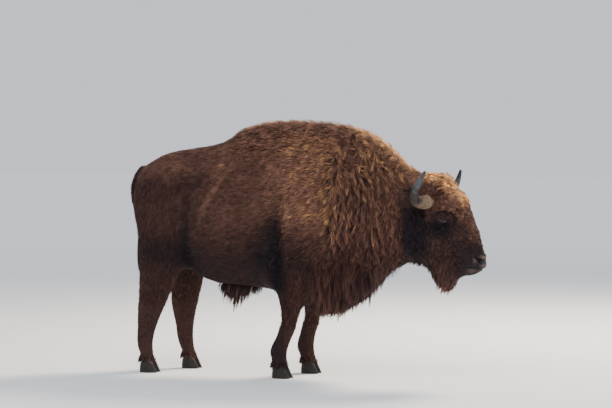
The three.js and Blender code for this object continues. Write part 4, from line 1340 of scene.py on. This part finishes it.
def lid_rings(sign):
    """Rings of points from inside the rim of the lids out over the socket, laid onto the hide."""
    along, upward, outward = eye_axes(sign)
    centre = eye_at(sign)
    rows = []
    for scale, proud in LID_RINGS:
        share = ease(1.15, 2.6, scale)
        wave = 0.0012 * ease(1.1, 1.4, scale) * ease(2.9, 2.2, scale)
        row = []
        for c, s in np.hstack(circle(LID_SIDES)):
            height = LID_OPENING[1] if s > 0 else LID_OPENING[2]
            spread = scale if scale < 1.2 else 1.2 + (scale - 1.2) * (0.62 + 0.38 * abs(s))
            x = LID_OPENING[0] * spread * c
            y = height * scale * s * abs(s) ** 0.15
            ball = math.sqrt(EYE_RADIUS ** 2 - min(math.hypot(x, y), EYE_RADIUS * 0.98) ** 2)
            spot = centre + along * x + upward * y
            hit = hide.tree.ray_cast(Vector(spot + outward * 0.08), Vector(-outward), 0.12)[0]
            skin = (np.array(hit) - centre) @ outward if hit is not None else ball
            fold = wave * math.sin(scale * 9.0 + 0.6 * s)
            row.append(spot + outward * (mix(ball, max(skin, ball * 0.4), share) + proud + fold))
        rows.append(row)
    return rows


def add_lids(mesh):
    """Joins both eyes' lids to the hide's mesh, as closed thin shells."""
    with editing(mesh) as bm:
        for sign in SIDES.values():
            rows = lid_rings(sign)
            under = [[point - eye_axes(sign)[2] * LID_THICKNESS for point in row] for row in rows[::-1]]
            rings = [[bm.verts.new(point) for point in row] for row in rows + under]
            bmesh.ops.recalc_face_normals(bm, faces=add_quads(bm, rings + rings[:1]))


def marks_of_lids(points):
    """Dark lids, with a thin light rim below the eye and a browner fold above it."""
    marks = np.tile((0.05, 0.92, 0.0, 0.10), (len(points), 1))
    for sign in SIDES.values():
        along, upward, _ = eye_axes(sign)
        offset = points - eye_at(sign)
        here = np.linalg.norm(offset, axis=1) < 0.08
        x, y = offset @ along / LID_OPENING[0], offset @ upward
        y = y / np.where(y > 0, LID_OPENING[1], LID_OPENING[2])
        ring = np.hypot(x, y)
        marks = layered(marks, (
            ((0.1, 0.35, 0.50, 0.1), here * bell(ring, 1.10, 0.10) * ease(0.1, -0.3, y)),
            ((0.30, 0.35, 0.10, 0.1), here * bell(ring, 1.9, 0.35) * ease(0.2, 0.8, y))))
    return marks


CLAW_RISE = 0.010
CLAW_SLOPE = 0.36  # how far the toe leans back over its height, against its length
CLAW_BULB = 0.035  # against its length
CLAW_RING = 0.0009
TOE_NARROWING = 0.34
# Heights of a claw's rings, as shares of its height, and how far the lowest two are drawn in at the sole.
CLAW_LEVELS = (0.0, 0.0, 0.03, 0.10, 0.20, 0.30, 0.40, 0.50, 0.60, 0.70, 0.80, 0.90, 0.97, 1.0)
SOLE_INSETS = (0.90, 0.975)


def claw_rows(low, high):
    """Rings of a claw: flat sole, steep wall, a soft bulb behind, and a top that goes up into the hide."""
    length, width, height = high - low + np.array([0.0, 0.0, CLAW_RISE])
    middle = (low + high) / 2
    c, s = (column[:, 0] for column in circle(CLAW_SIDES))
    ahead, behind = np.maximum(c, 0), np.maximum(-c, 0)
    square_x, square_y = np.maximum(np.abs(c), 1e-6) ** -0.12, np.maximum(np.abs(s), 1e-6) ** -0.15
    rows = []
    for number, rise in enumerate(CLAW_LEVELS):
        inset = SOLE_INSETS[number] if number < len(SOLE_INSETS) else 1.0
        inset *= 1 - 0.34 * (max(rise - 0.70, 0) / 0.30) ** 1.6
        x = length / 2 * c * square_x * inset - CLAW_SLOPE * length * rise * ahead ** 1.3
        x -= CLAW_BULB * length * (math.sin(math.pi * min(rise * 1.3, 1)) - 1.8 * rise) * behind
        y = width / 2 * s * (1 - TOE_NARROWING * ahead ** 2) * square_y * (1 - 0.14 * rise) * inset
        ring = CLAW_RING * np.sin(rise * 30 + 0.6 * c) * (rise > 0.05) * ease(-0.2, 0.3, c)
        level = np.full(CLAW_SIDES, low[2] + height * rise)
        rows.append(np.stack([middle[0] + x + ring * c, middle[1] + y + ring * s, level], axis=1))
    return rows


def make_claw(pair, side, place):
    node = f"hoof_{pair}_{side}_{place}"
    low, high = corners_of(node)
    x, y, _ = (low + high) / 2
    top = (x - 0.02, y, high[2] + CLAW_RISE)
    mesh = capped(f"claw_{pair}_{side}_{place}", claw_rows(low, high), (x, y, low[2]), top)
    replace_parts(show(mesh, hoof_material), node)


def make_dewclaw(pair, side, place):
    node = f"dewclaw_{pair}_{side}_{place}"
    low, high = corners_of(node)
    y = (low[1] + high[1]) / 2
    start, end = np.array([high[0] - 0.010, y, high[2] - 0.006]), np.array([low[0] + 0.010, y, low[2] + 0.004])
    axis = unit(end - start)
    across = np.array([0.0, 1.0, 0.0])
    c, s = circle(DEWCLAW_SIDES)
    out = across * c * 0.85 + np.cross(axis, across) * s
    rows = []
    for share in np.linspace(0, 1, DEWCLAW_STEPS):
        swell = math.sqrt(max(1 - (0.25 + 0.72 * share) ** 3.2, 0.01)) * (0.8 + 0.2 * math.sin(3 * share))
        rows.append(start + (end - start) * share + out * DEWCLAW_RADIUS * swell)
    mesh = capped(f"nub_{pair}_{side}_{place}", rows, start - axis * 0.002, end + axis * 0.003)
    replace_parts(show(mesh, hoof_material), node)


for side, sign in SIDES.items():
    make_horn(side, sign)
    make_eyeball(side, sign)
for pair in PAIRS:
    for side in SIDES:
        for place in PLACES:
            make_claw(pair, side, place)
            make_dewclaw(pair, side, place)

add_lids(hide.mesh)
lid_marks = marks_of_lids(points_of(hide.mesh)[len(growth.marks):])
put_attribute(hide.mesh, "markings_and_painted_light", np.concatenate([growth.marks, lid_marks]))
hide.mesh.name = "hide"
smooth(hide.mesh)
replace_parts(show(hide.mesh, hide_material), *FLESH)


# ---------------------------------------------------------------- the coat, region by region

# The place along the body that parts the fore legs' roots from the hind legs'.
LEG_PARTING = -0.45
# The edges of the columns along the body in which its lowest places are found.
COLUMNS = np.arange(-1.40, 1.42, 0.03)


def one_island(*line):
    return lambda roots: [(np.full(len(roots), True), *line)]


def each_leg(pair):
    def islands(roots):
        result = []
        for side, sign in SIDES.items():
            x, y, _ = middle_of(f"{pair}_leg_lower_{side}")
            result.append((roots[:, 1] * sign > 0, (x, y, 0.05), (x, y, 0.95), (0.0, -sign, 0.0)))
        return result
    return islands


def each_foot(roots):
    result = []
    for pair in PAIRS:
        here = (roots[:, 0] > LEG_PARTING) == (pair == "fore")
        result += [(here & chosen, *line) for chosen, *line in each_leg(pair)(roots)]
    return result


def each_ear(roots):
    result = []
    for side, sign in SIDES.items():
        middle, half = middle_of(f"ear_{side}"), head_left * sign * 0.09
        result.append((to_head(roots)[:, 1] * sign > 0, middle - half, middle + half, (0.0, 0.0, -1.0)))
    return result


def room_below(chosen, margin):
    """How far each vertex of the hide lies above the lowest of the chosen ones near it, with a margin."""
    column = np.clip(np.searchsorted(COLUMNS, x) - 1, 0, len(COLUMNS) - 2)
    low = np.full(len(COLUMNS) - 1, np.inf)
    np.minimum.at(low, column[chosen], z[chosen])
    found = np.isfinite(low)
    centres = (COLUMNS[:-1] + COLUMNS[1:]) / 2
    return z - np.interp(x, centres[found], low[found]) + margin


def change_coat(share, **measures):
    """Lays new measures over the coat where the share is above 0."""
    for kind, value in measures.items():
        growth.coat[kind] = mix(growth.coat[kind], value, share)


along_trunk = one_island((-1.25, 0.0, 1.15), (0.85, 0.0, 1.15), (0.0, 0.0, -1.0))
along_head = one_island(from_head((0.0, 0.0, 0.25)), from_head((0.25, 0.0, -0.30)), -head_forward)
down_tail = one_island((-1.29, 0.05, 1.5), (-1.30, 0.07, 0.7), (1.0, 0.0, 0.0))

x, y, z = hide.points.T
f, l, u = growth.head.T
part = hide.part
on_head, off_head, on_legs = growth.on_head, growth.off_head, growth.on_legs
haired = ease(0.75, 0.35, growth.bare)
body = limited(part["trunk"] + part["neck"]) * haired
crown = on_head * ease(0.06, 0.11, u + 0.3 * np.maximum(f, 0))
face = on_head * (1 - crown) * haired
hump_top = ease(1.46, 1.56, z) * ease(-0.58, -0.50, x)
front = ease(0.20, 0.30, x)
rear = ease(-0.60, -0.62, x)
flank = ease(-0.62, -0.60, x) * ease(-0.14, -0.16, x)
shoulder = ease(-0.16, -0.14, x) * (1 - front)

# Each piece of the coat: name, weights, locks, rings, locks in a clump, unwrap and seed.
grow("coat_rump", body * rear, 34000, 1, 8, along_trunk, 11)
grow("coat_barrel", body * flank * (1 - hump_top), 29000, 1, 8, along_trunk, 12)
grow("coat_shoulder", body * shoulder * (1 - hump_top), 15500, 2, 6, along_trunk, 13)
grow("coat_hump", body * hump_top * (1 - rear), 12500, 2, 7, along_trunk, 14, rise=0.2)
grow("coat_neck", body * front * (1 - hump_top), 17000, 2, 6, along_trunk, 15)
grow("coat_head", crown * haired, 9600, 3, 8, along_head, 16, stray=0.5)
grow("coat_face", face * (1 - 0.5 * part["beard"]), 16000, 2, 7, along_head, 17, stray=0.35)
grow("coat_fore_legs", on_legs * (x > LEG_PARTING), 22000, 1, 6, each_leg("fore"), 18)
grow("coat_hind_legs", on_legs * (x <= LEG_PARTING), 22000, 1, 6, each_leg("hind"), 19)
grow("coat_ears", part["ear"], 2200, 3, 4, each_ear, 20, stray=0.4)
grow("coat_tail", part["tail"], 1800, 2, 4, down_tail, 21)

change_coat(part["tail_tuft"], length=0.17, width=0.0045)
grow("coat_tail_tuft", part["tail_tuft"], 1000, 5, 12, down_tail, 22, hang=0.8)

under = ease(0.15, -0.35, hide.normals[:, 2])
fringe = limited(ease(0.02, 0.25, x) * ease(0.86, 0.70, z) * off_head * (1 - on_legs)) * (0.25 + 0.75 * under)
hanging = np.clip(room_below((off_head > 0.5) & (on_legs < 0.5), 0.066), 0.05, 0.17)
change_coat(limited(fringe * 2), length=hanging, width=0.0046, clump=0.75)
grow("coat_brisket_fringe", fringe, 3400, 5, 12, along_trunk, 23, hang=0.88, rise=0.50, stray=0.12)

beard = limited(part["beard"] + 0.8 * on_head * ease(-0.24, -0.30, u) * under * ease(0.20, 0.10, f))
hanging = np.clip(room_below(on_head > 0.5, 0.034), 0.04, 0.12)
change_coat(beard, length=hanging, width=0.0044, clump=0.75)
grow("coat_beard", beard * haired, 3200, 5, 12, along_head, 24, hang=0.85, rise=0.25, stray=0.12)

tuft = limited(2 * near(hide.points, (-0.49, 0.0, 0.55), (0.125, 0.075, 0.08))) * (1 - on_legs)
change_coat(tuft, length=0.24 - 0.10 * ease(-0.50, -0.34, x), width=0.0045, clump=0.7)
grow("coat_belly_tuft", tuft * (tuft > 0.1), 900, 5, 8, along_trunk, 25, hang=0.9, rise=0.75)

coronet = part["leg_lower"] * ease(0.135, 0.115, z)
change_coat(coronet, length=0.042, height=0.004, width=0.0044)
grow("coat_coronets", coronet * (coronet > 0.3), 1700, 2, 7, each_foot, 26, hang=0.85, rise=0.55)


# ---------------------------------------------------------------- floor, light and camera

CAMERA_TARGET = (-0.0345, 0.128, 1.214)
CAMERA_DISTANCE = 16.0
CAMERA_AZIMUTH = math.radians(22.0)
CAMERA_ELEVATION = math.radians(2.0)
CAMERA_LENS = 132.0

# The room's even light, and where the floor fades into it, in metres from the animal.
ROOM = (0.86, 0.90, 0.97)
ROOM_LIGHT = 0.95
FADE_START = 2.5
FADE_END = 18.0
FLOOR_HALF = 60
FLOOR_TONES = (0.74, 0.75, 0.77), (0.80, 0.81, 0.83)
BLACK = (0.0, 0.0, 0.0)


def put_in_scene(name, data, place, target):
    """Links a light or a camera, aimed from its place at its target."""
    thing = bpy.data.objects.new(name, data)
    bpy.context.scene.collection.objects.link(thing)
    thing.location = place
    thing.rotation_euler = (Vector(target) - thing.location).to_track_quat("-Z", "Y").to_euler()
    return thing


def add_light(name, place, target, size, power, colour):
    light = bpy.data.lights.new(name, "AREA")
    light.shape = "DISK"
    light.size, light.energy, light.color = size, power, colour
    put_in_scene(name, light, place, target)


def make_floor():
    corners = [(x * FLOOR_HALF, y * FLOOR_HALF, 0) for x, y in ((-1, -1), (1, -1), (1, 1), (-1, 1))]
    floor = mesh_from("floor", corners, [(0, 1, 2, 3)])
    material, shader = new_material("floor")
    place = shader.place()
    away = shader.node("ShaderNodeVectorMath", {0: place}, operation="LENGTH").outputs["Value"]
    far = shader.node("ShaderNodeMapRange", {0: away, 1: FADE_START, 2: FADE_END},
                      interpolation_type="SMOOTHSTEP").outputs[0]
    colour = shader.mix(shader.noise(place, 2.0, 4.0), *FLOOR_TONES)
    shader.set_surface({
        "Base Color": shader.mix(far, colour, BLACK), "Emission Color": shader.mix(far, BLACK, ROOM),
        "Emission Strength": ROOM_LIGHT, "Roughness": 0.9, "Specular IOR Level": 0.1})
    floor.materials.append(material)
    thing = bpy.data.objects.new("floor", floor)
    bpy.context.scene.collection.objects.link(thing)


make_floor()
world = bpy.data.worlds.new("pale room")
world.use_nodes = True
background = world.node_tree.nodes["Background"].inputs
background["Color"].default_value = (*ROOM, 1.0)
background["Strength"].default_value = ROOM_LIGHT
bpy.context.scene.world = world
add_light("sky panel", (1.0, -5.0, 6.5), (0.0, 0.0, 1.0), 6.0, 340.0, (1.0, 0.98, 0.96))
add_light("rim panel", (2.0, 5.5, 6.5), (0.2, 0.0, 1.4), 3.0, 1500.0, (1.0, 0.86, 0.68))

camera_away = Vector((
    math.sin(CAMERA_AZIMUTH) * math.cos(CAMERA_ELEVATION),
    -math.cos(CAMERA_AZIMUTH) * math.cos(CAMERA_ELEVATION),
    math.sin(CAMERA_ELEVATION)))
camera_place = Vector(CAMERA_TARGET) + CAMERA_DISTANCE * camera_away
camera = put_in_scene("camera", bpy.data.cameras.new("camera"), camera_place, CAMERA_TARGET)
camera.data.lens = CAMERA_LENS
bpy.context.scene.camera = camera
